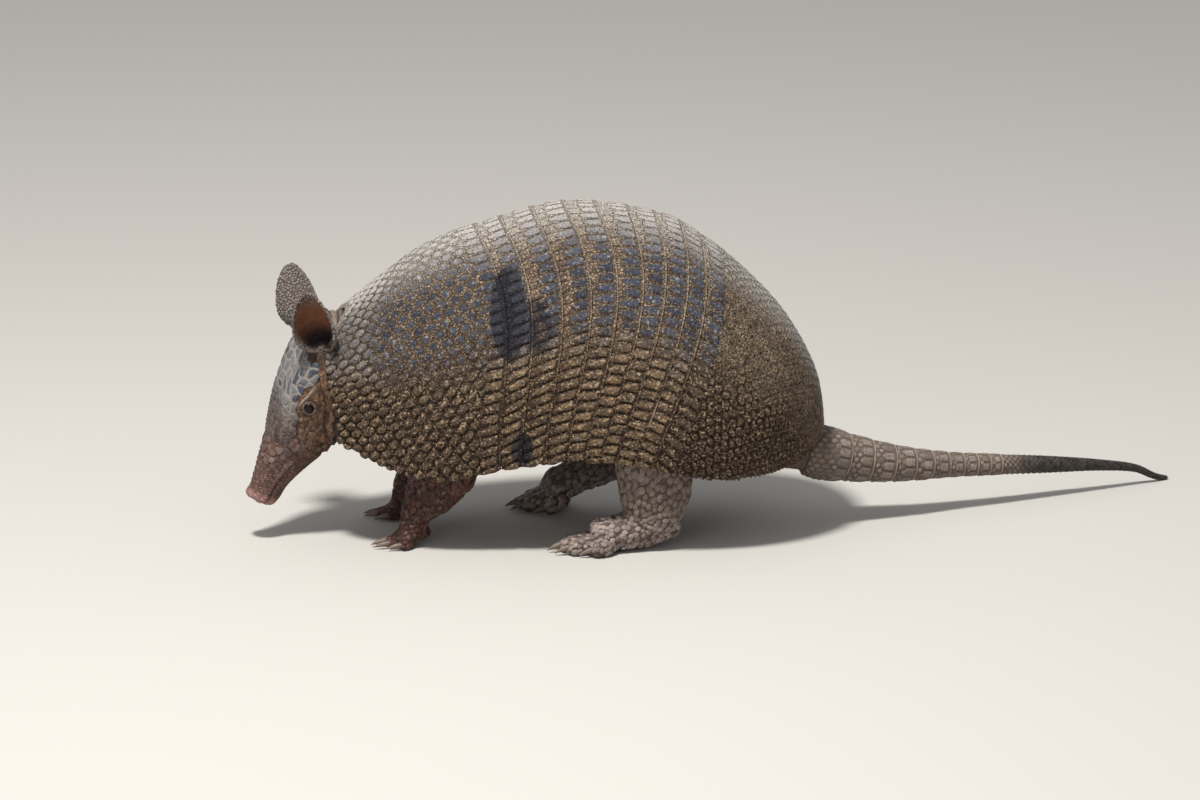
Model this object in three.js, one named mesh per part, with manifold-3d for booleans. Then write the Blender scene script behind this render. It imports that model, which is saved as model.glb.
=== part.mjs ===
// A nine-banded armadillo, life size, walking with its nose near the ground.
// Millimetres, +Z up. The nose points toward -X and the animal's left side toward -Y.
// The body is built with X = 0 near the middle of its shell, and the whole group is
// moved at the end so that its origin is the middle of its footprint, on the floor.
import * as THREE from 'three';
import { mergeVertices } from 'three/addons/utils/BufferGeometryUtils.js';
import Module from 'manifold-3d';

const wasm = await Module();
wasm.setup();

const { degToRad, lerp } = THREE.MathUtils;
const vec = (x, y, z) => new THREE.Vector3(x, y, z);
const FORWARD = vec(1, 0, 0);
const UP = vec(0, 0, 1);

// ---------------------------------------------------------------- driving sizes

const GAP = 0.3; // clearance between neighbouring solids
const CUT_GAP = 0.42; // clearance that a cut leaves, before its slivers are taken out
const SLIVER = 0.08; // how closely a cut solid keeps its shape
const PLATE = 3; // thickness of the shell's plates
const FLESH_DEPTH = PLATE + 0.8; // how far the trunk lies under the shell's surface
const SHELL_ARC = degToRad(112); // a ring of the shell spans this much to each side
const AROUND = 20; // facets around a ring of the shell

// Rings of the shell, from the neck to the tail: the point on the back, the rim at the
// flank, half the width, and how far the side of the ring bulges toward the tail.
const RINGS = [
  { topX: -141, topZ: 140, rimX: -146.5, rimZ: 66, half: 33, bow: -10.5 },
  { topX: -103, topZ: 171, rimX: -107, rimZ: 50, half: 54, bow: -3 },
  { topX: -82, topZ: 182.5, rimX: -78.5, rimZ: 49, half: 61, bow: 5 },
  { topX: -61.5, topZ: 190, rimX: -52, rimZ: 55, half: 65, bow: 10.5 },
  { topX: -9, topZ: 203, rimX: -12, rimZ: 59.5, half: 70, bow: 12.5 },
  { topX: 46, topZ: 195, rimX: 16.5, rimZ: 59.5, half: 73, bow: 8.5 },
  { topX: 72.5, topZ: 181, rimX: 38, rimZ: 56, half: 74.5, bow: 6.5 },
  { topX: 101, topZ: 156.5, rimX: 60.5, rimZ: 50, half: 73, bow: 6 },
  { topX: 125, topZ: 129, rimX: 84, rimZ: 46, half: 66, bow: 5 },
  { topX: 142, topZ: 95.5, rimX: 107.5, rimZ: 44.5, half: 47, bow: 3 },
  { topX: 147, topZ: 62, rimX: 129, rimZ: 43.5, half: 19, bow: 1 },
];
const FIRST_BAND = 3; // the ring where the shoulder shield ends
const LAST_BAND = 6; // the ring where the hip shield begins
const BAND_COUNT = 8;
const BAND_STEP = 0.9; // a band's front edge lies this much lower than its rear edge

// The head, measured from its back along an axis that ends at the nose: how far the
// forehead and the throat lie to each side of that axis, and half the width.
const HEAD_AT = vec(-154, -1, 127.5);
const HEAD_PITCH = degToRad(64);
const HEAD_TURN = degToRad(5);
const HEAD = [
  { at: -12, top: 4, throat: -30, half: 13 },
  { at: -6, top: 10, throat: -38, half: 19 },
  { at: 4, top: 13.2, throat: -42, half: 22 },
  { at: 17, top: 14.7, throat: -44, half: 23.5 },
  { at: 33, top: 13.4, throat: -44, half: 23 },
  { at: 46, top: 11.5, throat: -42, half: 21 },
  { at: 60, top: 8, throat: -36.5, half: 17.5 },
  { at: 72, top: 5, throat: -31, half: 14 },
  { at: 84, top: 3, throat: -25.5, half: 11 },
  { at: 95, top: 1, throat: -21.5, half: 9 },
  { at: 104, top: -0.6, throat: -20.3, half: 8.8 },
  { at: 109, top: -1.6, throat: -18.5, half: 7.8 },
  { at: 111, top: -4.5, throat: -15, half: 5 },
];
const HEAD_WAIST = 0.42; // the head is widest this far down from the forehead
const HEAD_SIDES = 22;
const SHIELD_SPAN = 4; // head facets that the shield covers to each side
const SHIELD_FROM = 2; // first and last head ring that it covers
const SHIELD_TO = 7;
const SHIELD_THICKNESS = 1.6;
const NECK_CUT = -154; // the head is parted from the neck at this X
const EYE = { at: 43, up: -8.2, out: 18.6, radius: 3.7 };

// An ear stands on the head at `base` and reaches to `tip`; its hollow faces `open`.
const EAR_SIZE = { length: 41, half: 13.6, wall: 1.2 };
const EARS = {
  ear_left: { base: vec(-152, -13, 123), tip: vec(-164.5, -34, 159), open: vec(-0.45, -1, 0.1) },
  ear_right: { base: vec(-157, 11, 127), tip: vec(-173.5, 22, 165), open: vec(-0.6, 1, 0.1) },
};

// The tail's middle line and radius, from inside the hip shield to the tip on the floor.
const TAIL = [
  { at: vec(136, -1, 46.5), radius: 14.6 },
  { at: vec(146, 0, 44.6), radius: 15.8 },
  { at: vec(160, 4, 40.5), radius: 14.1 },
  { at: vec(193, 12, 33.3), radius: 10.4 },
  { at: vec(229, 24, 28.3), radius: 7 },
  { at: vec(253, 32, 25.6), radius: 6.1 },
  { at: vec(289, 46, 21), radius: 5 },
  { at: vec(325, 60, 15.8), radius: 3.2 },
  { at: vec(348, 70, 10.5), radius: 2.2 },
  { at: vec(361, 76, 3.6), radius: 1.7 },
  { at: vec(369, 80, 0.9), radius: 1.3 },
];
const TAIL_RINGS = 10;
const TAIL_ROOT_LENGTH = 25; // the first ring, partly under the hip shield
const TAIL_RING_LENGTH = 16.5; // the second ring; each next one is shorter
const TAIL_RING_SHRINK = 0.91;
const TAIL_FLARE = 0.5; // a ring's rear edge stands out this much

// A leg hangs from the belly to its ankle: places of its middle, and half its depth
// along the body and half its width across it. `foot` sets the foot's place and turn.
const LEGS = {
  front_left: {
    stops: [
      { at: vec(-82, -30, 64), deep: 24, wide: 17 },
      { at: vec(-85, -30, 43), deep: 19.5, wide: 14.5 },
      { at: vec(-93, -29, 31), deep: 15, wide: 11.5 },
      { at: vec(-101, -28, 20), deep: 9, wide: 9 },
      { at: vec(-103, -28, 9), deep: 8, wide: 8.5 },
    ],
    foot: { x: -103, y: -28, turn: 8, lift: 0, kind: 'front' },
  },
  front_right: {
    stops: [
      { at: vec(-82, 32, 64), deep: 24, wide: 17 },
      { at: vec(-86, 33, 43), deep: 19, wide: 14.5 },
      { at: vec(-94, 34, 31), deep: 13.5, wide: 11.5 },
      { at: vec(-101.5, 35, 20), deep: 9, wide: 9 },
      { at: vec(-104, 35, 9), deep: 8, wide: 8.5 },
    ],
    foot: { x: -104, y: 35, turn: -6, lift: 0, kind: 'front' },
  },
  hind_left: {
    stops: [
      { at: vec(41, -46, 66), deep: 28, wide: 17 },
      { at: vec(41, -47, 50), deep: 23, wide: 16.5 },
      { at: vec(41, -47, 36), deep: 22, wide: 15 },
      { at: vec(39.5, -47, 24), deep: 19, wide: 12.5 },
      { at: vec(38, -47, 13), deep: 13, wide: 10 },
    ],
    foot: { x: 33, y: -47, turn: 3, lift: 0, kind: 'hind' },
  },
  hind_right: {
    stops: [
      { at: vec(40, 45, 66), deep: 28, wide: 17 },
      { at: vec(37, 45, 52), deep: 22, wide: 16 },
      { at: vec(31, 45, 40), deep: 18, wide: 14 },
      { at: vec(25, 45, 30), deep: 13, wide: 11 },
      { at: vec(20, 45, 24), deep: 9.5, wide: 9 },
    ],
    foot: { x: 15, y: 45, turn: -4, lift: 16, kind: 'hind' },
  },
};

// Feet, in their own frame: +X forward from the ankle, the sole on the floor. Toes run
// from the inner side to the outer one, and their tips and sides are measured from it.
const FEET = {
  front: {
    heel: { x: -7, z: 9, radius: 5 },
    ankle: { x: 0, z: 10, deep: 8.5, wide: 8.5 },
    ball: { x: 5.5, z: 6, deep: 5.5, wide: 10 },
    toes: [
      { tip: 11, side: -8.5 },
      { tip: 16, side: -3.2 },
      { tip: 15.5, side: 3 },
      { tip: 9, side: 8.6 },
    ],
    toeRadius: 3.4,
    claw: { length: 8.5, radius: 2 },
  },
  hind: {
    heel: { x: -18, z: 13, radius: 6.5 },
    ankle: { x: -3, z: 13, deep: 12, wide: 9.5 },
    ball: { x: 25, z: 10, deep: 11, wide: 13.5 },
    toes: [
      { tip: 33, side: -14.2 },
      { tip: 46, side: -7 },
      { tip: 49, side: 0 },
      { tip: 45.5, side: 7 },
      { tip: 32, side: 14.2 },
    ],
    toeRadius: 5.6,
    claw: { length: 7.5, radius: 2.1 },
  },
};

const COLOURS = {
  shoulderShield: 0x6a625c,
  band: 0x746b62,
  hipShield: 0x675c50,
  belly: 0x8a7568,
  headShield: 0x5f6068,
  face: 0x6b5346,
  neck: 0x93887f,
  ear: 0x6e5a50,
  eye: 0x0b0a0a,
  limb: 0x5f4c44,
  claw: 0xa99c86,
  tailRing: 0x7d746a,
  tailTip: 0x26221f,
};

// ---------------------------------------------------------------- making solids

// Turns points and triangles into a geometry whose faces point outward.
function closedGeometry(points, faces) {
  let volume = 0;
  for (const [a, b, c] of faces) {
    volume += points[a].dot(points[b].clone().cross(points[c]));
  }
  const turned = volume < 0 ? faces.map(([a, b, c]) => [a, c, b]) : faces;
  const geometry = new THREE.BufferGeometry();
  geometry.setAttribute(
    'position',
    new THREE.Float32BufferAttribute(points.flatMap((p) => p.toArray()), 3),
  );
  geometry.setIndex(turned.flat());
  return geometry;
}

// Joins rings of points, all of one count, into a closed solid. A 'fan' end closes a
// round ring to its middle; a 'strip' end closes a ring that runs out along one face
// and back along the other.
function stack(rings, end = 'fan') {
  const count = rings[0].length;
  const points = rings.flat();
  const faces = [];
  for (let i = 0; i < rings.length - 1; i += 1) {
    for (let j = 0; j < count; j += 1) {
      const a = i * count + j;
      const b = i * count + ((j + 1) % count);
      faces.push([a, b, b + count], [a, b + count, a + count]);
    }
  }
  const lastRing = (rings.length - 1) * count;
  if (end === 'strip') {
    for (let j = 0; j < count / 2 - 1; j += 1) {
      const back = count - 1 - j;
      faces.push([j, back, j + 1], [j + 1, back, back - 1]);
      faces.push([lastRing + j, lastRing + j + 1, lastRing + back]);
      faces.push([lastRing + j + 1, lastRing + back - 1, lastRing + back]);
    }
    return closedGeometry(points, faces);
  }
  for (const [start, ring] of [[0, rings[0]], [lastRing, rings.at(-1)]]) {
    const middle = points.push(middleOf(ring)) - 1;
    for (let j = 0; j < count; j += 1) {
      const pair = [start + j, start + ((j + 1) % count)];
      faces.push(start === 0 ? [pair[1], pair[0], middle] : [...pair, middle]);
    }
  }
  return closedGeometry(points, faces);
}

function middleOf(ring) {
  const sum = vec(0, 0, 0);
  ring.forEach((p) => sum.add(p));
  return sum.divideScalar(ring.length);
}

// A thin plate: `surface(u, v, side)` gives its outer face at side 0, its inner at 1.
function plate(surface, rows, columns) {
  const rings = [];
  for (let i = 0; i <= rows; i += 1) {
    const outer = [];
    const inner = [];
    for (let j = 0; j <= columns; j += 1) {
      outer.push(surface(i / rows, j / columns, 0));
      inner.unshift(surface(i / rows, j / columns, 1));
    }
    rings.push([...outer, ...inner]);
  }
  return stack(rings, 'strip');
}

// A round or oval rod through `stops`, each with a place, a depth and a width. The
// width lies square to `across`, and each ring square to the rod's own direction,
// which is worked out from its neighbours where a stop doesn't hold one.
function rod(stops, sides, across) {
  const rings = stops.map((stop, i) => {
    const before = stops[Math.max(i - 1, 0)].at;
    const after = stops[Math.min(i + 1, stops.length - 1)].at;
    const along = stop.along ?? after.clone().sub(before).normalize();
    const side = along.clone().cross(across).normalize();
    const over = side.clone().cross(along);
    const deep = stop.deep ?? stop.radius;
    const wide = stop.wide ?? stop.radius;
    return Array.from({ length: sides }, (_, k) => {
      const angle = (k * 2 * Math.PI) / sides;
      return stop.at.clone()
        .addScaledVector(side, wide * Math.sin(angle))
        .addScaledVector(over, deep * Math.cos(angle));
    });
  });
  return stack(rings);
}

function piece(name, geometry, colour, roughness = 0.75) {
  const material = new THREE.MeshStandardMaterial({ color: colour, roughness, metalness: 0 });
  const mesh = new THREE.Mesh(geometry, material);
  mesh.name = name;
  return mesh;
}

// A mesh's geometry in the body's frame, with its shared vertices merged.
function placedGeometry(mesh) {
  mesh.updateWorldMatrix(true, false);
  const geometry = mesh.geometry.clone();
  geometry.deleteAttribute('normal');
  geometry.deleteAttribute('uv');
  return mergeVertices(geometry.applyMatrix4(mesh.matrixWorld), 1e-4);
}

function solidOf(geometry) {
  return new wasm.Manifold(new wasm.Mesh({
    numProp: 3,
    vertProperties: new Float32Array(geometry.attributes.position.array),
    triVerts: new Uint32Array(geometry.index.array),
  }));
}

// The same solid with its surface moved out by the gap.
function grown(mesh) {
  const geometry = placedGeometry(mesh);
  geometry.computeVertexNormals();
  const { position, normal } = geometry.attributes;
  for (let i = 0; i < position.count; i += 1) {
    position.setXYZ(
      i,
      position.getX(i) + normal.getX(i) * CUT_GAP,
      position.getY(i) + normal.getY(i) * CUT_GAP,
      position.getZ(i) + normal.getZ(i) * CUT_GAP,
    );
  }
  return solidOf(geometry);
}

// Gives a mesh the shape of a solid that stands in the body's frame: its largest part,
// with the slivers that a cut leaves taken out.
function reshape(mesh, solid) {
  const parts = solid.decompose().sort((a, b) => b.volume() - a.volume());
  const cut = parts[0].simplify(SLIVER).getMesh();
  const geometry = new THREE.BufferGeometry();
  geometry.setAttribute('position', new THREE.Float32BufferAttribute(cut.vertProperties, 3));
  geometry.setIndex(Array.from(cut.triVerts));
  mesh.geometry = geometry.applyMatrix4(mesh.matrixWorld.clone().invert());
}

// Cuts a mesh clear of its neighbours.
function clear(mesh, neighbours) {
  let solid = solidOf(placedGeometry(mesh));
  for (const neighbour of neighbours) {
    solid = solid.subtract(grown(neighbour));
  }
  reshape(mesh, solid);
}

// A big block that holds all that lies on one side of a plane square to X or Z.
function halfSpace(axis, from, direction) {
  const reach = 1000;
  const block = new THREE.BoxGeometry(reach, reach, reach);
  const centre = vec(0, 0, 0);
  centre[axis] = from + (direction * reach) / 2;
  const mesh = new THREE.Mesh(block);
  mesh.position.copy(centre);
  return solidOf(placedGeometry(mesh));
}

// ---------------------------------------------------------------- the shell

// A smooth curve through the values that `list` holds under `key`, at a place `t`.
function through(list, key, t) {
  const place = THREE.MathUtils.clamp(t, 0, list.length - 1);
  const i = Math.min(Math.floor(place), list.length - 2);
  const f = place - i;
  const value = (k) => list[THREE.MathUtils.clamp(k, 0, list.length - 1)][key];
  const slopeA = (value(i + 1) - value(i - 1)) / 2;
  const slopeB = (value(i + 2) - value(i)) / 2;
  const rise = value(i + 1) - value(i);
  return value(i) + f * slopeA
    + f * f * (3 * rise - 2 * slopeA - slopeB)
    + f * f * f * (slopeA + slopeB - 2 * rise);
}

// The shell's surface: t counts rings from the neck, q runs from -1 at the left rim
// over the back to 1 at the right rim.
function shellSurface(t, q) {
  const at = (key) => through(RINGS, key, t);
  const angle = q * SHELL_ARC;
  const fall = (1 - Math.cos(angle)) / (1 - Math.cos(SHELL_ARC));
  return vec(
    lerp(at('topX'), at('rimX'), fall) + at('bow') * Math.sin(Math.PI * q) ** 2,
    at('half') * Math.sin(angle),
    lerp(at('topZ'), at('rimZ'), fall),
  );
}

// A point that lies `depth` under the shell's surface.
function shellPoint(t, q, depth) {
  const step = 0.02;
  const along = shellSurface(t + step, q).sub(shellSurface(t - step, q));
  const around = shellSurface(t, q + step).sub(shellSurface(t, q - step));
  const outward = along.cross(around).normalize();
  return shellSurface(t, q).addScaledVector(outward, -depth);
}

// Where the bands meet, counted in rings: three to each of the first two ring spaces
// and two to the last.
function bandEdge(k) {
  return k <= 6 ? FIRST_BAND + k / 3 : LAST_BAND - (BAND_COUNT - k) / 2;
}

// A plate of the shell from ring t0 to ring t1, a gap short at each open end.
// `depthAt(u)` is how far its outer face lies under the shell's surface.
function shellPlate(t0, t1, rows, depthAt) {
  return plate((u, v, side) => {
    const q = v * 2 - 1;
    const width = shellSurface(t0, q).distanceTo(shellSurface(t1, q));
    const trimmed = Math.min(GAP / width, 0.1);
    const t = lerp(t0, t1, lerp(trimmed / 2, 1 - trimmed / 2, u));
    return shellPoint(t, q, side === 0 ? depthAt(u) : PLATE);
  }, rows, AROUND);
}

function makeShell() {
  const shell = new THREE.Group();
  const shoulders = shellPlate(0, FIRST_BAND, 6, () => 0);
  shell.add(piece('shell_scapular', shoulders, COLOURS.shoulderShield));
  for (let k = 0; k < BAND_COUNT; k += 1) {
    const band = shellPlate(bandEdge(k), bandEdge(k + 1), 1, (u) => BAND_STEP * (1 - u));
    shell.add(piece(`shell_band_${k + 1}`, band, COLOURS.band));
  }
  const tuckUnderBand = (u) => (u === 0 ? BAND_STEP : 0);
  const hips = shellPlate(LAST_BAND, RINGS.length - 1, 8, tuckUnderBand);
  shell.add(piece('shell_pelvic', hips, COLOURS.hipShield));
  return shell;
}

// ---------------------------------------------------------------- trunk and neck

// The flesh under the shell, closed below by a belly that bulges a little.
function makeTrunk() {
  const first = 0.35;
  const last = RINGS.length - 1.12;
  const rows = 10;
  const bellyPoints = 5;
  const bellyBulge = 2.5;
  const rings = [];
  for (let i = 0; i <= rows; i += 1) {
    const t = lerp(first, last, i / rows);
    const ring = [];
    for (let j = 0; j <= AROUND; j += 1) {
      ring.push(shellPoint(t, (j / AROUND) * 2 - 1, FLESH_DEPTH));
    }
    const right = ring.at(-1);
    for (let j = 1; j < bellyPoints; j += 1) {
      const across = 1 - (2 * j) / bellyPoints;
      const sag = bellyBulge * (1 - across * across);
      ring.push(vec(right.x, right.y * across, right.z - sag));
    }
    rings.push(ring);
  }
  return piece('trunk', stack(rings), COLOURS.belly, 0.85);
}

// A short thick rod from the trunk's open front to the back of the head.
function makeNeck() {
  const stops = [
    { at: vec(-128, 0, 101), deep: 35, wide: 28 },
    { at: vec(-143, 0, 99), deep: 38.5, wide: 26.5 },
    { at: vec(NECK_CUT + GAP, -0.5, 94.5), deep: 40.5, wide: 23.5, along: vec(-1, 0, 0) },
  ];
  return piece('neck', rod(stops, 14, UP), COLOURS.neck, 0.85);
}

// ---------------------------------------------------------------- the head

// A point of the head in its own frame: +X to the nose, +Z to the forehead.
function headPoint(ring, angle, depth) {
  const deep = ring.top - ring.throat;
  const waist = ring.top - deep * HEAD_WAIST;
  const reach = Math.cos(angle) > 0 ? ring.top - waist : waist - ring.throat;
  return vec(
    ring.at,
    (ring.half - depth) * Math.sin(angle),
    waist + (reach - depth) * Math.cos(angle),
  );
}

const headAngle = (k) => (k * 2 * Math.PI) / HEAD_SIDES;

function underShield(i, k) {
  const fromTop = Math.min(k, HEAD_SIDES - k);
  return i >= SHIELD_FROM && i <= SHIELD_TO && fromTop <= SHIELD_SPAN;
}

// The head, with a bed of the given depth for its shield.
function makeHeadSolid(name, bed) {
  const rings = HEAD.map((ring, i) => (
    Array.from({ length: HEAD_SIDES }, (_, k) => (
      headPoint(ring, headAngle(k), underShield(i, k) ? bed : 0)
    ))
  ));
  return piece(name, stack(rings), COLOURS.face);
}

// The plate of large scutes over the forehead and the top of the muzzle.
function makeHeadShield() {
  const rows = SHIELD_TO - SHIELD_FROM;
  const geometry = plate((u, v, side) => {
    const ring = HEAD[SHIELD_FROM + Math.round(u * rows)];
    const angle = headAngle(Math.round((v * 2 - 1) * SHIELD_SPAN));
    return headPoint(ring, angle, side * SHIELD_THICKNESS);
  }, rows, SHIELD_SPAN * 2);
  return piece('head_shield', geometry, COLOURS.headShield);
}

function makeEye(name, side) {
  const eye = piece(name, new THREE.SphereGeometry(EYE.radius, 9, 6), COLOURS.eye, 0.1);
  eye.position.set(EYE.at, side * EYE.out, EYE.up);
  return eye;
}

// An ear: a cupped leaf whose foot is rolled almost into a tube.
function makeEar(name, { base, tip, open }) {
  const { length, half, wall } = EAR_SIZE;
  const geometry = plate((u, v, side) => {
    const bulge = Math.sin(Math.PI * (0.16 + 0.79 * u)) ** 0.5;
    const spread = lerp(degToRad(140), degToRad(48), u ** 0.6);
    const radius = (half * bulge) / Math.sin(Math.min(spread, Math.PI / 2));
    const angle = (v * 2 - 1) * spread;
    const reach = radius - side * wall;
    return vec(radius - reach * Math.cos(angle), reach * Math.sin(angle), u * length);
  }, 7, 7);
  const ear = piece(name, geometry, COLOURS.ear);
  const rise = tip.clone().sub(base).normalize();
  const across = rise.clone().cross(open).normalize();
  const facing = across.clone().cross(rise);
  ear.position.copy(base);
  ear.quaternion.setFromRotationMatrix(new THREE.Matrix4().makeBasis(facing, across, rise));
  return ear;
}

// ---------------------------------------------------------------- tail

const tailCurve = new THREE.CatmullRomCurve3(TAIL.map((stop) => stop.at), false, 'centripetal');

// Where the tail is, and how thick, at a length s from its hidden root.
function tailAt(s) {
  const f = s / tailCurve.getLength();
  const t = tailCurve.getUtoTmapping(f);
  const radius = through(TAIL, 'radius', t * (TAIL.length - 1));
  return { at: tailCurve.getPoint(t), along: tailCurve.getTangent(t), radius };
}

function tailLength(name, from, to, steps, sides, flare, colour) {
  const stops = Array.from({ length: steps + 1 }, (_, i) => {
    const stop = tailAt(lerp(from + GAP / 2, to - GAP / 2, i / steps));
    return { ...stop, radius: stop.radius + flare * (i / steps) };
  });
  return piece(name, rod(stops, sides, UP), colour);
}

function makeTail() {
  const tail = new THREE.Group();
  const end = tailCurve.getLength();
  let from = 0;
  for (let k = 0; k < TAIL_RINGS; k += 1) {
    const to = from + (k === 0 ? TAIL_ROOT_LENGTH : TAIL_RING_LENGTH * TAIL_RING_SHRINK ** (k - 1));
    tail.add(tailLength(`tail_ring_${k + 1}`, from, to, 1, 14, TAIL_FLARE, COLOURS.tailRing));
    from = to;
  }
  const half = lerp(from, end, 0.45);
  tail.add(tailLength('tail_end', from, half, 4, 9, 0, COLOURS.tailTip));
  tail.add(tailLength('tail_tip', half, end, 6, 8, 0, COLOURS.tailTip));
  return tail;
}

// ---------------------------------------------------------------- legs and feet

function makeLeg(name, stops) {
  return piece(`${name}_leg`, rod(stops, 12, FORWARD), COLOURS.limb);
}

// The foot's parts stand in a group at the ankle: the pad with its toes, and the claws.
function makeFoot(name, { x, y, turn, lift, kind }) {
  const sizes = FEET[kind];
  const group = new THREE.Group();
  group.position.set(x, y, 0);
  group.rotation.z = Math.PI + degToRad(turn);
  group.updateMatrixWorld(true);

  const { heel, ankle, ball, toes, toeRadius, claw } = sizes;
  const pad = rod([
    { at: vec(heel.x - heel.radius * 0.7, 0, heel.z + lift), radius: heel.radius * 0.55 },
    { at: vec(heel.x, 0, heel.z + lift), radius: heel.radius },
    { at: vec(ankle.x, 0, ankle.z + lift * 0.9), deep: ankle.deep, wide: ankle.wide },
    { at: vec(lerp(ankle.x, ball.x, 0.55), 0, lerp(ankle.z, ball.z, 0.6) + lift * 0.65),
      deep: lerp(ankle.deep, ball.deep, 0.6), wide: lerp(ankle.wide, ball.wide, 0.5) },
    { at: vec(ball.x, 0, ball.z + lift * 0.3), deep: ball.deep, wide: ball.wide },
    { at: vec(ball.x + toeRadius, 0, ball.z), deep: ball.deep * 0.7, wide: ball.wide * 0.8 },
  ], 8, UP);
  const foot = piece(`${name}_foot`, pad, COLOURS.limb);
  group.add(foot);
  let solid = solidOf(placedGeometry(foot));
  toes.forEach(({ tip, side }) => {
    const toe = new THREE.Mesh(toeGeometry(ball.x - toeRadius, tip, side, toeRadius, lift * 0.2));
    group.add(toe);
    solid = solid.add(solidOf(placedGeometry(toe)));
    group.remove(toe);
  });
  reshape(foot, solid.intersect(halfSpace('z', 0, 1)));

  toes.forEach(({ tip, side }, i) => {
    const shape = clawGeometry(tip, side, toeRadius, claw);
    group.add(piece(`${name}_claw_${i + 1}`, shape, COLOURS.claw, 0.4));
  });
  return group;
}

// A toe rises over its knuckle and comes down on its pad.
function toeGeometry(root, tip, side, radius, rise) {
  const height = radius * 0.6;
  return rod([
    { at: vec(root, side * 0.6, height + 1.5 + rise), radius: radius * 0.9 },
    { at: vec(lerp(root, tip, 0.5), side * 0.9, height + 2 + rise), radius },
    { at: vec(lerp(root, tip, 0.85), side, height + 0.6), radius: radius * 0.98 },
    { at: vec(tip, side, height - 0.2), radius: radius * 0.6, along: FORWARD },
  ], 6, UP);
}

// A claw grows out of the toe's tip and curves down, almost to the floor.
function clawGeometry(tip, side, toeRadius, { length, radius }) {
  const start = toeRadius * 0.75;
  const steps = 3;
  const stops = Array.from({ length: steps + 1 }, (_, i) => {
    const f = i / steps;
    return {
      at: vec(tip + GAP + length * f, side, lerp(start, 0.95, f ** 1.3)),
      deep: lerp(radius, 0.4, f ** 1.4),
      wide: lerp(radius * 0.75, 0.4, f ** 1.4),
    };
  });
  stops[0].along = FORWARD;
  return rod(stops, 5, UP);
}

// ---------------------------------------------------------------- the whole animal

function makeHead() {
  const head = new THREE.Group();
  head.position.copy(HEAD_AT);
  head.rotation.set(0, HEAD_PITCH, Math.PI + HEAD_TURN, 'ZYX');
  head.add(makeHeadSolid('head', SHIELD_THICKNESS + GAP), makeHeadShield());
  head.add(makeEye('eye_left', 1), makeEye('eye_right', -1));
  return head;
}

const animal = new THREE.Group();
const shell = makeShell();
const trunk = makeTrunk();
const neck = makeNeck();
const head = makeHead();
const tail = makeTail();
animal.add(shell, trunk, neck, head, tail);

const named = (name) => animal.getObjectByName(name);
const shoulders = named('shell_scapular');
const hips = named('shell_pelvic');
const skull = named('head');

// The head ends flat against the neck, and the neck gives way to the shell and trunk.
reshape(skull, solidOf(placedGeometry(skull)).intersect(halfSpace('x', NECK_CUT, -1)));
clear(skull, [shoulders, named('eye_left'), named('eye_right')]);
clear(neck, [shoulders, trunk, named('head_shield')]);

// The ears are cut by the whole head, its shield's bed filled.
const wholeHead = makeHeadSolid('whole_head', 0);
head.add(wholeHead);
for (const [name, place] of Object.entries(EARS)) {
  const ear = makeEar(name, place);
  animal.add(ear);
  clear(ear, [wholeHead, neck, shoulders]);
}
head.remove(wholeHead);

for (const k of [1, 2]) {
  clear(named(`tail_ring_${k}`), [trunk, hips]);
}
reshape(named('tail_tip'), solidOf(placedGeometry(named('tail_tip'))).intersect(halfSpace('z', 0, 1)));

for (const [name, { stops, foot }] of Object.entries(LEGS)) {
  const leg = makeLeg(name, stops);
  const footGroup = makeFoot(name, foot);
  animal.add(leg, footGroup);
  clear(leg, [trunk, shoulders, hips, named(`${name}_foot`)]);
}

// Put the origin under the middle of the whole.
animal.updateMatrixWorld(true);
const bounds = new THREE.Box3().setFromObject(animal, true);
const middle = bounds.getCenter(vec(0, 0, 0));
animal.position.set(-middle.x, -middle.y, -bounds.min.z);

export default animal;
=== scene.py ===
# %% [markdown]
# # A nine-banded armadillo, life size
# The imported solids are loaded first. They fix where every part is. Each cell after
# this one gives one part of the animal its real surface: the shell's bony scutes, the
# skin, the scales on the legs and tail, the claws, the eyes and the hairs.
# Sizes are written in millimetres, as a maker would measure them on the animal, and
# turned into metres at the last moment.

# %% Load the solids
import math
import bmesh
import bpy
import numpy as np
from mathutils import Matrix, Vector
from mathutils.bvhtree import BVHTree


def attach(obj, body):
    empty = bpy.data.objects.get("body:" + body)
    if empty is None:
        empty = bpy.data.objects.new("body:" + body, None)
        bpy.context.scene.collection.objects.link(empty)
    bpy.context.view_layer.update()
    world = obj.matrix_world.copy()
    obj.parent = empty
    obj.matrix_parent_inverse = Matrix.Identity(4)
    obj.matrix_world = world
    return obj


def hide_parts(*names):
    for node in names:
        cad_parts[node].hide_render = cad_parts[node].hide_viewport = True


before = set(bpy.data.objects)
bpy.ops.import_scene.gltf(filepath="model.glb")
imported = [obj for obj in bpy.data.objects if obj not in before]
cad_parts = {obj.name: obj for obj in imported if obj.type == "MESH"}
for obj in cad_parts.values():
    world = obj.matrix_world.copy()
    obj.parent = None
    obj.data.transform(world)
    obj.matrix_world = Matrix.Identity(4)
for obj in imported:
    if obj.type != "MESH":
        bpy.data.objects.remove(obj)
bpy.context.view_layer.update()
MM = 0.001
# The solids were drawn round the middle of the shell, then moved so that the origin
# is under the middle of the whole animal.
SHIFT = np.array([-84.674, -3.301, 0.0])

# %% [markdown]
# ## Arithmetic on sockets
# A node tree does sums with Math nodes, and a long formula made by hand is a tangle of
# wires. This small class wraps one socket, so that a formula can be written as it is on
# paper and each sign adds its own node. The same class serves Geometry Nodes, where the
# formulas raise the scutes, and the shaders, where they mix the colours.

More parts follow.
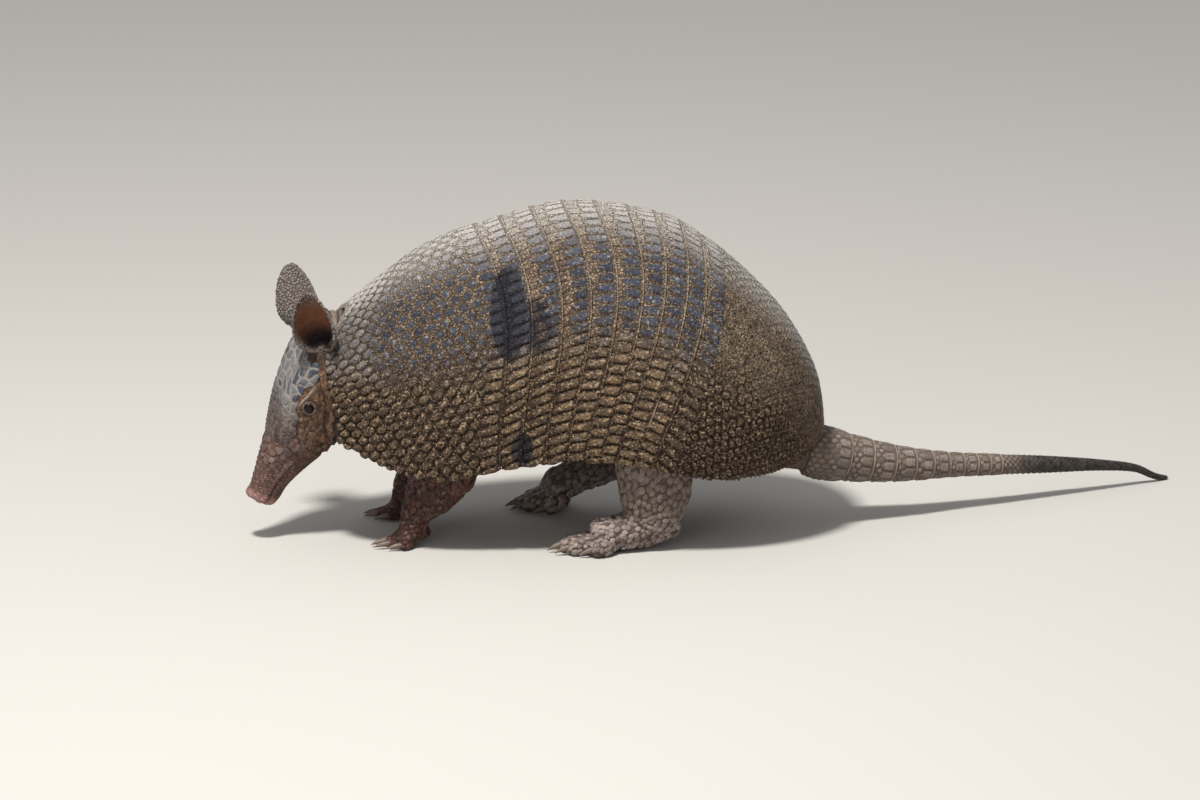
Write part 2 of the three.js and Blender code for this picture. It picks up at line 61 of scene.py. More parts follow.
# %% A socket that can be added, multiplied and compared
class Value:
    """One number or colour in a node tree."""

    def __init__(self, tree, socket):
        self.tree, self.socket = tree, socket

    def math(self, operation, *others, first=None):
        items = [self if first is None else first, *others]
        return self.tree.add("ShaderNodeMath", {"operation": operation}, dict(enumerate(items)))

    def __add__(self, other): return self.math("ADD", other)
    def __sub__(self, other): return self.math("SUBTRACT", other)
    def __mul__(self, other): return self.math("MULTIPLY", other)
    def __truediv__(self, other): return self.math("DIVIDE", other)
    def __radd__(self, other): return self.math("ADD", other)
    def __rsub__(self, other): return self.math("SUBTRACT", self, first=other)
    def __rmul__(self, other): return self.math("MULTIPLY", other)
    def __rtruediv__(self, other): return self.math("DIVIDE", self, first=other)
    def __lt__(self, other): return self.math("LESS_THAN", other)
    def __gt__(self, other): return self.math("GREATER_THAN", other)
    def __abs__(self): return self.math("ABSOLUTE")
    def __pow__(self, other): return self.math("POWER", other)


class Tree:
    """A node tree that is built by calls."""

    def __init__(self, tree):
        self.nodes, self.links = tree.nodes, tree.links

    def add(self, kind, settings=None, inputs=None, out=0):
        """Adds a node: its settings first, then its inputs, and gives back one output."""
        node = self.nodes.new(kind)
        for name, setting in (settings or {}).items():
            setattr(node, name, setting)
        for name, item in (inputs or {}).items():
            if isinstance(item, Value):
                self.links.new(item.socket, node.inputs[name])
            elif item is not None:
                node.inputs[name].default_value = item
        return Value(self, node.outputs[out]) if node.outputs else None

    def smooth(self, value, low, high):
        """0 below low, 1 above high, and a smooth step between."""
        return self.add("ShaderNodeMapRange", {"interpolation_type": "SMOOTHSTEP"},
                        {0: value, 1: low, 2: high, 3: 0.0, 4: 1.0})

    def vector(self, x, y, z=0.0):
        return self.add("ShaderNodeCombineXYZ", None, {0: x, 1: y, 2: z})

    def noise(self, vector, scale, detail=2.0):
        return self.add("ShaderNodeTexNoise", None,
                        {"Vector": vector, "Scale": scale, "Detail": detail})

    def chance(self, x, y, seed):
        """A fixed random number for each whole-numbered place."""
        return self.add("ShaderNodeTexWhiteNoise", {"noise_dimensions": "3D"},
                        {"Vector": self.vector(x, y, seed)})

    def voronoi(self, vector, scale, feature="DISTANCE_TO_EDGE"):
        """Cells like cracked mud: the distance to the nearest crack or, with F1, middle."""
        return self.add("ShaderNodeTexVoronoi", {"feature": feature}, {"Vector": vector, "Scale": scale})

    def mix(self, share, a, b, kind="MIX"):
        """Mixes two colours, each a socket or (red, green, blue)."""
        a, b = ((*colour, 1) if isinstance(colour, tuple) else colour for colour in (a, b))
        return self.add("ShaderNodeMix", {"data_type": "RGBA", "blend_type": kind},
                        {0: share, 6: a, 7: b}, out=2)

    def paint(self, tone, *coats):
        """Lays colours over a tone, one after another. Each coat is (share, colour)."""
        for share, colour in coats:
            tone = self.mix(share, tone, colour)
        return tone


print("socket arithmetic is ready")

# %% [markdown]
# ## Floor, light and camera
# The model stands on a plain pale floor in soft light, as in a studio: a glow from the
# whole ceiling, one lamp above the head, and a wide weak one beside the camera. The
# camera is far away with a long lens, at the height of a person who kneels, and looks
# at the animal's left flank.

# %% Floor, light and camera
def plain_material(name, colour, roughness):
    """A material of one colour."""
    material = bpy.data.materials.new(name)
    material.use_nodes = True
    shader = material.node_tree.nodes["Principled BSDF"]
    shader.inputs["Base Color"].default_value = (*colour, 1)
    shader.inputs["Roughness"].default_value = roughness
    return material


def show(name, data):
    """Puts a mesh, a light or a camera into the scene."""
    obj = bpy.data.objects.new(name, data)
    bpy.context.scene.collection.objects.link(obj)
    return obj


FLOOR_HALF = 30.0
floor_mesh = bpy.data.meshes.new("floor")
floor_corners = [(sx * FLOOR_HALF, sy * FLOOR_HALF, 0) for sx, sy in ((-1, -1), (1, -1), (1, 1), (-1, 1))]
floor_mesh.from_pydata(floor_corners, [], [(0, 1, 2, 3)])
floor = show("floor", floor_mesh)
floor_mesh.materials.append(plain_material("pale_floor", (0.5, 0.485, 0.46), 0.9))

SKY_COLOUR, SKY_STRENGTH = (0.94, 0.94, 0.95), 0.24
world = bpy.data.worlds.new("studio")
world.use_nodes = True
sky = world.node_tree.nodes["Background"]
sky.inputs["Color"].default_value = (*SKY_COLOUR, 1)
sky.inputs["Strength"].default_value = SKY_STRENGTH
bpy.context.scene.world = world


LIT_PLACE = Vector((0, 0, 0.1))


def hang_light(light, place):
    obj = show(light.name, light)
    obj.location = place
    obj.rotation_euler = (LIT_PLACE - obj.location).to_track_quat("-Z", "Y").to_euler()


def soft_light(name, place, size, power, colour):
    light = bpy.data.lights.new(name, "AREA")
    light.shape, light.size, light.energy, light.color = "DISK", size, power, colour
    hang_light(light, place)


ceiling = bpy.data.lights.new("ceiling", "SUN")
ceiling.energy, ceiling.angle = 0.7, math.radians(120)
hang_light(ceiling, (0.5, 0.2, 2.5))
soft_light("top_light", (-0.55, -0.75, 1.95), 0.3, 60, (1.0, 0.97, 0.92))
soft_light("side_fill", (-1.3, -2.4, 0.8), 1.2, 10, (0.95, 0.97, 1.0))
bpy.context.scene.view_settings.view_transform = "Standard"

VIEW_AZIMUTH, VIEW_ELEVATION = math.radians(-5), math.radians(15)
VIEW_TARGET = Vector((-0.0727, -0.0044, 0.0805))
VIEW_DISTANCE = 5.0
VIEW_LENS = 250
back = Vector((math.sin(VIEW_AZIMUTH) * math.cos(VIEW_ELEVATION),
               -math.cos(VIEW_AZIMUTH) * math.cos(VIEW_ELEVATION), math.sin(VIEW_ELEVATION)))
camera = show("camera", bpy.data.cameras.new("camera"))
camera.data.lens = VIEW_LENS
camera.location = VIEW_TARGET + back * VIEW_DISTANCE
camera.rotation_euler = (-back).to_track_quat("-Z", "Y").to_euler()
bpy.context.scene.camera = camera
print("camera at", tuple(round(c, 3) for c in camera.location))

# %% [markdown]
# ## The shell's surface
# An armadillo's shell is one smooth barrel. Here a few rings are measured along it, from
# the neck to the tail: the point on the back, the rim at the flank and half the width. A
# smooth curve runs through each of these sizes, so one rule gives the point of the
# surface at ring t, and at q, which runs from -1 at the left rim to 1 at the right.
# It is the rule that the solids were made with, so the plates lie where the solids do.

# %% The rule for the shell's surface
#         back x, back z, rim x, rim z, half, bow
RINGS = np.array([(-141, 140, -146.5, 66, 33, -10.5), (-103, 171, -107, 50, 54, -3),
                  (-82, 182.5, -78.5, 49, 61, 5), (-61.5, 190, -52, 55, 65, 10.5),
                  (-9, 203, -12, 59.5, 70, 12.5), (46, 195, 16.5, 59.5, 73, 8.5),
                  (72.5, 181, 38, 56, 74.5, 6.5), (101, 156.5, 60.5, 50, 73, 6),
                  (125, 129, 84, 46, 66, 5), (142, 95.5, 107.5, 44.5, 47, 3),
                  (147, 62, 129, 43.5, 19, 1)], float)
SHELL_ARC = math.radians(112)
# Thickness of a plate and the gap between two, in millimetres.
PLATE = 3.0
GAP = 0.3
FIRST_BAND, LAST_BAND, BAND_COUNT = 3, 6, 8
# How far a band's front edge lies under the rear edge of the plate before it.
BAND_STEP = 0.9


def through(rows, place):
    """A smooth curve through the rows of a table, at any places along it."""
    place = np.clip(place, 0, len(rows) - 1)
    i = np.minimum(place.astype(int), len(rows) - 2)
    f = (place - i)[..., None]
    last = len(rows) - 1
    before, here, after, beyond = (rows[np.clip(i + k, 0, last)] for k in (-1, 0, 1, 2))
    slope_a, slope_b, rise = (after - before) / 2, (beyond - here) / 2, after - here
    return (here + f * slope_a + f * f * (3 * rise - 2 * slope_a - slope_b)
            + f ** 3 * (slope_a + slope_b - 2 * rise))


def shell_surface(t, q):
    """A point of the smooth shell in body millimetres, at ring t and share q."""
    back_x, back_z, rim_x, rim_z, half, bow = np.moveaxis(through(RINGS, t), -1, 0)
    angle = q * SHELL_ARC
    fall = (1 - np.cos(angle)) / (1 - math.cos(SHELL_ARC))
    return np.stack([back_x + (rim_x - back_x) * fall + bow * np.sin(np.pi * q) ** 2,
                     half * np.sin(angle), back_z + (rim_z - back_z) * fall], -1)


def unit(vectors):
    return vectors / np.maximum(np.linalg.norm(vectors, axis=-1, keepdims=True), 1e-9)


def shell_point(t, q, depth):
    """A point that lies depth millimetres under the smooth shell, square to it."""
    step = 0.02
    along = shell_surface(t + step, q) - shell_surface(t - step, q)
    around = shell_surface(t, q + step) - shell_surface(t, q - step)
    return shell_surface(t, q) - unit(np.cross(along, around)) * np.asarray(depth)[..., None]


def band_edge(k):
    """The ring where band k starts: six bands lie between rings 3 and 5, two from 5 to 6."""
    return FIRST_BAND + k / 3 if k <= 6 else LAST_BAND - (BAND_COUNT - k) / 2


shell_top = shell_surface(np.array([4.0]), np.array([0.0]))[0] + SHIFT
print("top of the shell in mm:", shell_top.round(1))

# %% [markdown]
# ## A plate as a closed mesh
# A plate's outer face is a fine grid, fine enough for each scute to be real relief. Its
# edges and its inner face are coarse, because nobody looks there, and fans of triangles
# join the fine grid to the coarse one without a gap. Each point of the outer face also
# remembers how far it is from the plate's rear and front edge and from the middle of the
# back, in millimetres along the surface, because scutes are laid out in those measures.

# %% Plates from a grid of points
# Steps of the outer grid for one step of the inner one.
COARSE = 8


def mesh_object(name, points, faces, uvs=None):
    """A mesh in the shared frame from points in the body's millimetres."""
    mesh = bpy.data.meshes.new(name)
    mesh.from_pydata((np.asarray(points) + SHIFT) * MM, [], faces)
    if uvs is not None:
        layer = mesh.uv_layers.new(name="OFBake")
        layer.data.foreach_set("uv", np.asarray(uvs, np.float32).ravel())
    mesh.polygons.foreach_set("use_smooth", np.ones(len(mesh.polygons), bool))
    return show(name, mesh)


def triangles(*pieces):
    return sum(len(p.vertices) - 2 for piece in pieces for p in piece.data.polygons)


def remember(obj, name, numbers):
    """Stores one number for each point of a mesh."""
    data = obj.data.attributes.new(name, "FLOAT", "POINT").data
    data.foreach_set("value", np.asarray(numbers, np.float32).ravel())


def remember_ways(mesh, name, vectors):
    """Stores one vector for each point of a mesh."""
    data = mesh.attributes.new(name, "FLOAT_VECTOR", "POINT").data
    data.foreach_set("vector", np.asarray(vectors, np.float32).ravel())


def closed_plate(name, outer, inner):
    """Joins an outer grid to an inner grid that has one point for every COARSE points."""
    nu, nv = outer.shape[:2]
    mu, mv = inner.shape[:2]
    points = np.concatenate([outer.reshape(-1, 3), inner.reshape(-1, 3)])
    o = np.arange(nu * nv).reshape(nu, nv)
    n = nu * nv + np.arange(mu * mv).reshape(mu, mv)
    span_u, span_v, strip, lip = 0.96, 0.86, 0.07, 0.012
    uv_o = np.stack(np.meshgrid(0.02 + span_u * np.linspace(0, 1, nu),
                                0.02 + span_v * np.linspace(0, 1, nv), indexing="ij"), -1)
    uv_n = np.stack(np.meshgrid(0.02 + span_u * np.linspace(0, 1, mu),
                                0.91 + strip * np.linspace(0, 1, mv), indexing="ij"), -1)

    def add(corners, places):
        faces.append(tuple(int(c) for c in corners))
        uvs.extend(places)

    quads = np.stack([o[:-1, :-1], o[1:, :-1], o[1:, 1:], o[:-1, 1:]], -1).reshape(-1, 4)
    places = np.stack([uv_o[:-1, :-1], uv_o[1:, :-1], uv_o[1:, 1:], uv_o[:-1, 1:]], -2)
    faces = [tuple(f) for f in quads.tolist()]
    uvs = places.reshape(-1, 2).tolist()
    for i in range(mu - 1):
        for j in range(mv - 1):
            corners = [(i, j), (i, j + 1), (i + 1, j + 1), (i + 1, j)]
            add([n[c] for c in corners], [uv_n[c] for c in corners])
    sides = [(o[:, 0][::-1], n[:, 0][::-1], uv_o[:, 0][::-1], (0, -lip)),
             (o[:, -1], n[:, -1], uv_o[:, -1], (0, lip)),
             (o[0, :], n[0, :], uv_o[0, :], (-lip, 0)),
             (o[-1, :][::-1], n[-1, :][::-1], uv_o[-1, :][::-1], (lip, 0))]
    for fine, rough, place, out in sides:
        for k in range(len(rough) - 1):
            start, middle = k * COARSE, k * COARSE + COARSE // 2
            below = [place[start] + out, place[start + COARSE] + out]
            for s in range(COARSE):
                near = 0 if s < COARSE // 2 else 1
                add([fine[start + s], fine[start + s + 1], rough[k + near]],
                    [place[start + s], place[start + s + 1], below[near]])
            add([fine[middle], rough[k + 1], rough[k]], [place[middle], below[1], below[0]])
    return mesh_object(name, points, faces, uvs)


def lengths(points, axis):
    """Length along the surface from the start of a grid, in the direction of one axis."""
    steps = np.linalg.norm(np.diff(points, axis=axis), axis=-1)
    start = np.zeros_like(np.take(steps, [0], axis=axis))
    return np.concatenate([start, np.cumsum(steps, axis=axis)], axis=axis)


def measured_plate(name, rule, cells_u, cells_v, gather=0.0):
    """A plate from rule(u, v, side), with its measures. u and v run from 0 to 1. With
    gather, the rows of scutes draw together where the plate is narrow."""
    nu, nv = cells_u * COARSE + 1, cells_v * COARSE + 1
    u, v = np.meshgrid(np.linspace(0, 1, nu), np.linspace(0, 1, nv), indexing="ij")
    outer = rule(u, v, 0)
    inner = rule(u[::COARSE, ::COARSE], v[::COARSE, ::COARSE], 1)
    obj = closed_plate(name, outer, inner)
    along, around = lengths(outer, 0), lengths(outer, 1)
    middle = nv // 2
    spare = inner.shape[0] * inner.shape[1]
    around = around - around[:, middle:middle + 1]
    widest = around[np.ptp(around, axis=1).argmax()]
    for title, grid in (("front", along), ("rear", along[-1:] - along),
                        ("around", around * (1 - gather) + widest * gather),
                        ("side", np.abs(v * 2 - 1)), ("outer", np.ones_like(u))):
        remember(obj, title, np.concatenate([grid.ravel(), np.zeros(spare)]))
    return obj


def shell_plate(name, t0, t1, cells_u, cells_v, depth_at, gather=0.0):
    """A plate from ring t0 to ring t1. depth_at says how far under the smooth shell its
    outer face lies, from the front edge at 0 to the rear edge at 1."""
    def rule(u, v, side):
        q = v * 2 - 1
        width = np.linalg.norm(shell_surface(np.full_like(q, t0), q)
                               - shell_surface(np.full_like(q, t1), q), axis=-1)
        trimmed = np.minimum(GAP / width, 0.1)
        t = t0 + (t1 - t0) * (trimmed / 2 + (1 - trimmed) * u)
        return shell_point(t, q, depth_at(u) if side == 0 else PLATE)
    return measured_plate(name, rule, cells_u, cells_v, gather)


shoulder = shell_plate("shoulder_shield", 0, FIRST_BAND, 19, 60, lambda u: 0 * u, 0.5)
bands = [shell_plate(f"band_{k + 1}", band_edge(k), band_edge(k + 1), 5, 64,
                     lambda u: BAND_STEP * (1 - u)) for k in range(BAND_COUNT)]
hips = shell_plate("hip_shield", LAST_BAND, len(RINGS) - 1, 22, 60,
                   lambda u: BAND_STEP * np.clip(1 - u * 12, 0, 1), 0.2)
print("shell faces:", sum(len(o.data.polygons) for o in [shoulder, *bands, hips]))

# %% [markdown]
# ## Building a tree and running it
# Each tree gets named sizes, so that one tree can serve many plates with other numbers.
# The sizes are set on the modifier by the socket's identifier before the tree first
# runs. The result is then kept as a plain mesh and the modifier goes.

# %% Make a tree, run a tree
def geometry_tree(name, sizes):
    group = bpy.data.node_groups.new(name, "GeometryNodeTree")
    face = group.interface
    face.new_socket("Geometry", in_out="INPUT", socket_type="NodeSocketGeometry")
    for title, default in sizes.items():
        kind = {float: "NodeSocketFloat", str: "NodeSocketObject"}.get(type(default),
                                                                       "NodeSocketMaterial")
        item = face.new_socket(title, in_out="INPUT", socket_type=kind)
        if kind == "NodeSocketFloat":
            item.default_value = default
    face.new_socket("Geometry", in_out="OUTPUT", socket_type="NodeSocketGeometry")
    tree = Tree(group)
    entry = group.nodes.new("NodeGroupInput")
    return group, tree, {s.name: Value(tree, s) for s in entry.outputs if s.name}


def end_tree(tree, geometry, material):
    real = tree.add("GeometryNodeRealizeInstances", None, {0: geometry})
    painted = tree.add("GeometryNodeSetMaterial", None, {0: real, 2: material})
    tree.links.new(painted.socket, tree.nodes.new("NodeGroupOutput").inputs[0])


def run_tree(obj, group, sizes):
    modifier = obj.modifiers.new(group.name, "NODES")
    modifier.node_group = group
    for item in group.interface.items_tree:
        if item.in_out == "INPUT" and item.name in sizes:
            modifier[item.identifier] = sizes[item.name]
    view = bpy.context.evaluated_depsgraph_get()
    done = bpy.data.meshes.new_from_object(obj.evaluated_get(view))
    obj.modifiers.remove(modifier)
    obj.data = done
    return obj


def stored(tree, name, kind="FLOAT"):
    return tree.add("GeometryNodeInputNamedAttribute", {"data_type": kind}, {0: name})


def store(tree, geometry, name, value, kind="FLOAT", domain="POINT"):
    return tree.add("GeometryNodeStoreNamedAttribute", {"data_type": kind, "domain": domain},
                    {0: geometry, 2: name, 3: value})


def lifted(tree, geometry, height):
    """Moves each point out along its normal by a height in millimetres."""
    way = tree.add("ShaderNodeVectorMath", {"operation": "SCALE"},
                   {0: tree.add("GeometryNodeInputNormal"), 3: height * MM})
    return tree.add("GeometryNodeSetPosition", None, {0: geometry, 3: way})


print("trees can be built and run")

# %% [markdown]
# ## Scutes
# The shell is skin that carries a mosaic of bony scutes. On the shoulder and hip shields
# they stand in offset rows, each a rounded hexagon in a bed of small grains. On the
# moving bands they are long, blunt behind and pointed in front, with a groove between
# neighbours, and the band ends in two thin pale ridges. Both layouts are sums on the
# distances that the plate remembers, so one tree makes every plate. It lifts the points
# and stores what it did for the colours to use: slate is the horny cover of a scute,
# core its middle, cell its own random number, pit the gap beside it, ridge the pale
# rear edge of a band, and low how far down the flank it stands.

# %% The tree that raises the scutes
def offset_rows(tree, u, v, row, column, seed):
    """Distance from the middle of the nearest scute, 1 at its edge, and its random number."""
    found = []
    for shift in (0.0, 0.5):
        cell_u = (u / (row * 2) - shift).math("ROUND") + shift
        cell_v = (v / (column * 2) - shift).math("ROUND") + shift
        found.append((cell_u, cell_v, u - cell_u * (row * 2), v - cell_v * (column * 2)))
    first, second = found
    nearer = (first[2] ** 2 + first[3] ** 2) < (second[2] ** 2 + second[3] ** 2)
    cell_u, cell_v, du, dv = (b + nearer * (a - b) for a, b in zip(first, second))
    across = (abs(du) * row + abs(dv) * column) / ((row * row + column * column) / 2)
    edge = (abs(du) / row).math("MAXIMUM", abs(dv) / column).math("MAXIMUM", across)
    around = ((du / (row * 1.25)) ** 2 + (dv / (column * 0.7)) ** 2) ** 0.5
    return edge * 0.6 + around * 0.4, tree.chance(cell_u, cell_v, seed), du


SCUTE_SIZES = {"Half row": 3.8, "Half column": 5.5, "Band pitch": 6.7, "Band row": 0.0,
               "Front row": 0.0, "Rise": 0.5, "Ridge": 1.0, "Collar": 0.0, "Pitted": 0.0,
               "Seed": 1.0, "Material": None}
scutes, tree, size = geometry_tree("scutes", SCUTE_SIZES)
rear, front, around_back, side, outer = (
    stored(tree, name) for name in ("rear", "front", "around", "side", "outer"))
place = tree.add("GeometryNodeInputPosition")
drift = [tree.add("ShaderNodeTexNoise", {"noise_dimensions": "4D"},
                  {"Vector": place, "W": size["Seed"] + k * 7.3, "Scale": 110.0, "Detail": 1.0})
         - 0.5 for k in range(2)]

edge, luck, lean = offset_rows(tree, rear + drift[0] * 1.4, around_back + drift[1] * 1.4,
                               size["Half row"], size["Half column"], size["Seed"])
edge = edge + (luck - 0.5) * 0.12
low = tree.smooth(side, 0.48, 0.76)
crowded = tree.smooth(front + (luck - 0.5) * 10, 44.0, 22.0) * size["Collar"]
shield_slate = 1 - tree.smooth(edge - crowded * 0.17, 0.46, 0.7 + low * 0.04)
shield_pit = tree.smooth(edge, 0.74 - low * 0.06, 0.96)
core = 1 - tree.smooth(edge, 0.12, 0.36)
shield_lift = ((1 - tree.smooth(edge, 0.3, 0.96)) * (0.75 + luck * 0.4) * (1 + low * 0.7)
               + shield_slate * (low * 0.4 + crowded * 0.4 - lean / size["Half row"] * 0.3)
               - core * size["Pitted"] * 1.1)

in_front = front < size["Front row"]
reach = rear + in_front * (size["Front row"] - front + 1.6 - rear)
in_band = in_front.math("MAXIMUM", rear < size["Band row"])
strip = around_back / size["Band pitch"] + drift[0] * 0.1
strip_at = strip.math("ROUND")
strip_luck = tree.chance(strip_at, size["Seed"], 3.0)
sideways = abs(strip - strip_at) * 2
blunt_end = tree.smooth(reach, 1.9, 3.2)
tip_at = 13.8 + (strip_luck - 0.5) * 3
pointed_end = 1 - tree.smooth(reach, tip_at - 3.5, tip_at)
half_width = 0.86 - tree.smooth(reach, 6.0, 14.0) * 0.45
strip_slate = (1 - tree.smooth(sideways / half_width, 0.66, 1.0)) * blunt_end * pointed_end
strip_pit = tree.smooth(sideways, 0.8, 0.97) * tree.smooth(reach, 1.5, 2.4)
strip_dome = 1 - sideways * sideways
strip_lift = strip_slate * 0.8 + strip_dome * (0.3 + low * 0.7) - strip_pit * 0.7

ridge_lines = (1 - abs(rear - 0.35) / 0.4).math("MAXIMUM", 0.0)
ridge = (1 - tree.smooth(rear + drift[0] * 0.8, 0.8, 1.15)) * size["Ridge"]
ridge_groove = tree.smooth(rear, 1.05, 1.3) * (1 - tree.smooth(rear, 1.6, 2.1)) * size["Ridge"]
collar = (1 - tree.smooth(front, 3.4, 4.2)) * size["Collar"] * (1 - tree.smooth(side, 0.3, 0.5))
collar_lines = abs((front * 1.6).math("SINE")) * collar

grain = tree.voronoi(place, 620.0, "F1")
slate = shield_slate + in_band * (strip_slate - shield_slate)
core = core * (1 - in_band)
pit = shield_pit + in_band * (strip_pit - shield_pit)
lift = shield_lift + in_band * (strip_lift - shield_lift)
luck = luck + in_band * (strip_luck - luck)
bare = (1 - ridge) * (1 - collar)
slate, pit = slate * bare, (pit * bare).math("MAXIMUM", ridge_groove * 0.85)
lift = (lift * bare * size["Rise"] + (1 - slate) * (0.5 - grain) * 0.22 * bare
        + ridge_lines * ridge * 0.3 + collar_lines * 0.35 - pit * 0.12)
moved = lifted(tree, size["Geometry"], lift * outer)
for name, value in (("slate", slate), ("pit", pit), ("ridge", ridge.math("MAXIMUM", collar)),
                    ("cell", luck), ("core", core), ("low", low)):
    moved = store(tree, moved, name, value)
end_tree(tree, moved, size["Material"])
print("nodes in the scute tree:", len(scutes.nodes))

# %% [markdown]
# ## The shell's colours
# Each scute has a slate-blue horny cover, scratched pale where it rubs; more pale scratches and flecks are
# painted highlights. The bed between the scutes is tan. Down the flanks both turn brown, with yellowish worn
# edges, and low on the shields painted shade darkens them. The grooves are dark, partly in their own colour
# and partly with painted shade, and painted shade rims each cover. The back is paler, partly bleached and
# partly a painted highlight of the sky's reflection. A patch of the left side behind the shoulder is stained
# almost black. Everything follows the stored numbers, so the colour lies on the relief that belongs to it.

# %% Shell material
def attributes(tree, *names):
    """Sockets with the numbers that the geometry stored under these names."""
    return [tree.add("ShaderNodeAttribute", {"attribute_name": name}, out=2) for name in names]


def new_material(name):
    """An empty material and its tree."""
    material = bpy.data.materials.new(name)
    material.use_nodes = True
    material.node_tree.nodes.clear()
    return material, Tree(material.node_tree)


def finish_material(tree, colour, roughness, height, depth, specular=0.4):
    """A Principled shader with a bump. `height` is a number, `depth` its size in metres."""
    normal = tree.add("ShaderNodeBump", None, {"Strength": 1.0, "Distance": depth, "Height": height})
    shader = tree.add("ShaderNodeBsdfPrincipled", None,
                      {"Base Color": colour, "Roughness": roughness, "Normal": normal})
    shader.socket.node.inputs["Specular IOR Level"].default_value = specular
    tree.add("ShaderNodeOutputMaterial", None, {0: shader})


def spot(tree, x, y, z, centre, radii):
    """1 in the middle of a soft ellipsoid, 0 outside it. Places are in body millimetres."""
    total = 0.0
    for coordinate, middle, shift, radius in zip((x, y, z), centre, SHIFT, radii):
        total = ((coordinate - (middle + shift) * MM) / (radius * MM)) ** 2 + total
    return 1 - tree.smooth(total, 0.25, 1.0)


def object_place(tree):
    """The place of each point in metres."""
    return tree.add("ShaderNodeTexCoord", out=3)


def split(tree, vector):
    """The x, y and z of a vector."""
    outputs = tree.add("ShaderNodeSeparateXYZ", None, {0: vector}).socket.node.outputs
    return [Value(tree, socket) for socket in outputs]


shell_material, tree = new_material("shell_scutes")
where = object_place(tree)
x, y, z = split(tree, where)
slate, pit, ridge, cell, core, side, low, front, on_shoulder, on_hips = attributes(
    tree, "slate", "pit", "ridge", "cell", "core", "side", "low", "front", "plain", "pitted")
broad = tree.noise(where, 28.0, 3.0)
medium = tree.noise(where, 160.0, 3.0)
fine = tree.noise(where, 900.0, 4.0)
# Pale scratches on the covers: partly real scratches, partly painted highlights.
scratch_and_highlight = tree.smooth(tree.noise(where, 420.0, 5.0), 0.56, 0.68)

grains = tree.smooth(tree.voronoi(where, 500.0), 0.02, 0.2)
bed = tree.paint(tree.mix(low, (0.32, 0.235, 0.168), (0.075, 0.048, 0.028)),
                 (tree.smooth(broad, 0.42, 0.66) * (1 - low * 0.8), (0.25, 0.17, 0.108)),
                 (tree.smooth(medium, 0.42, 0.7) * 0.7, (0.058, 0.037, 0.025)),
                 ((1 - grains) * 0.7, (0.045, 0.03, 0.02)))

plain = tree.smooth(front + (broad - 0.5) * 40, 42.0, 24.0) * on_shoulder
pitted = on_hips * tree.smooth(side, 0.1, 0.26) * tree.smooth(front, 12.0, 14.0)
low_cover = tree.paint(tree.mix(cell, (0.045, 0.029, 0.019), (0.115, 0.08, 0.05)),
                       (core * tree.smooth(cell + medium, 0.55, 0.95), (0.014, 0.01, 0.008)))
hip_cover = tree.paint(tree.mix(cell, (0.07, 0.044, 0.024), (0.21, 0.143, 0.082)),
                       (tree.smooth(core + (medium - 0.5) * 0.8, 0.2, 0.7), (0.008, 0.006, 0.005)))
cover = tree.paint(tree.mix(cell, (0.009, 0.012, 0.026), (0.038, 0.046, 0.072)),
                   (plain * 0.75, tree.mix(cell, (0.1, 0.09, 0.086), (0.21, 0.187, 0.174))),
                   (tree.smooth(low + (broad - 0.5), 0.35, 0.85), low_cover),
                   (pitted, hip_cover),
                   # Pale scratches, partly painted highlights.
                   (scratch_and_highlight * (0.3 + cell * 0.4), (0.37, 0.335, 0.305)))

# %% Wear, dirt, stains, painted shade and painted highlights on the shell
worn = tree.smooth(slate, 0.35, 0.7) * (1 - core) * low * tree.smooth(medium, 0.42, 0.62)
# Paler on the top of the back: partly bleached, partly a painted highlight of the sky.
bleach_and_sky_highlight = 1 - tree.smooth(side, 0.03, 0.36)
# A dark rim round each scute's cover: painted shade where the cover meets the bed.
cover_edge_shade = tree.smooth(slate, 0.03, 0.25) * (1 - tree.smooth(slate, 0.25, 0.6)) * (1 - low * 0.85)
edge_tone = tree.paint(tree.mix(low * 0.8, (0.33, 0.27, 0.22), (0.2, 0.138, 0.1)),
                       (tree.smooth(medium, 0.45, 0.62) * 0.5, (0.14, 0.1, 0.075)))
rubbed_edge = ridge * (0.15 + tree.smooth(fine, 0.42, 0.6) * 0.4 + tree.smooth(medium, 0.4, 0.62) * 0.3)
# The gaps between scutes darkened: partly their own dark colour, partly painted shade in the grooves.
pit_colour_and_shade = pit * (0.74 + (low * 0.2).math("MAXIMUM", plain * 0.18))
# Painted shade low on the flanks of the shoulder and hip shields.
low_flank_shade = (on_hips * 0.62).math("MAXIMUM", on_shoulder * 0.32) * low
stain = spot(tree, x, y, z, (-47, -62, 152), (13, 40, 36))
stain = stain.math("MAXIMUM", spot(tree, x, y, z, (-30, -66, 143), (12, 30, 25)) * (0.35 + pit * 0.6))
stain = stain.math("MAXIMUM", spot(tree, x, y, z, (-40, -72, 68), (8, 30, 13)))
stained = tree.smooth(stain + (medium - 0.5) * 0.5, 0.1, 0.5) * (0.98 - slate * 0.12)
fleck = tree.noise(where, 620.0, 3.0)
speck = tree.noise(tree.vector(x + 3.0, y, z), 760.0, 3.0)
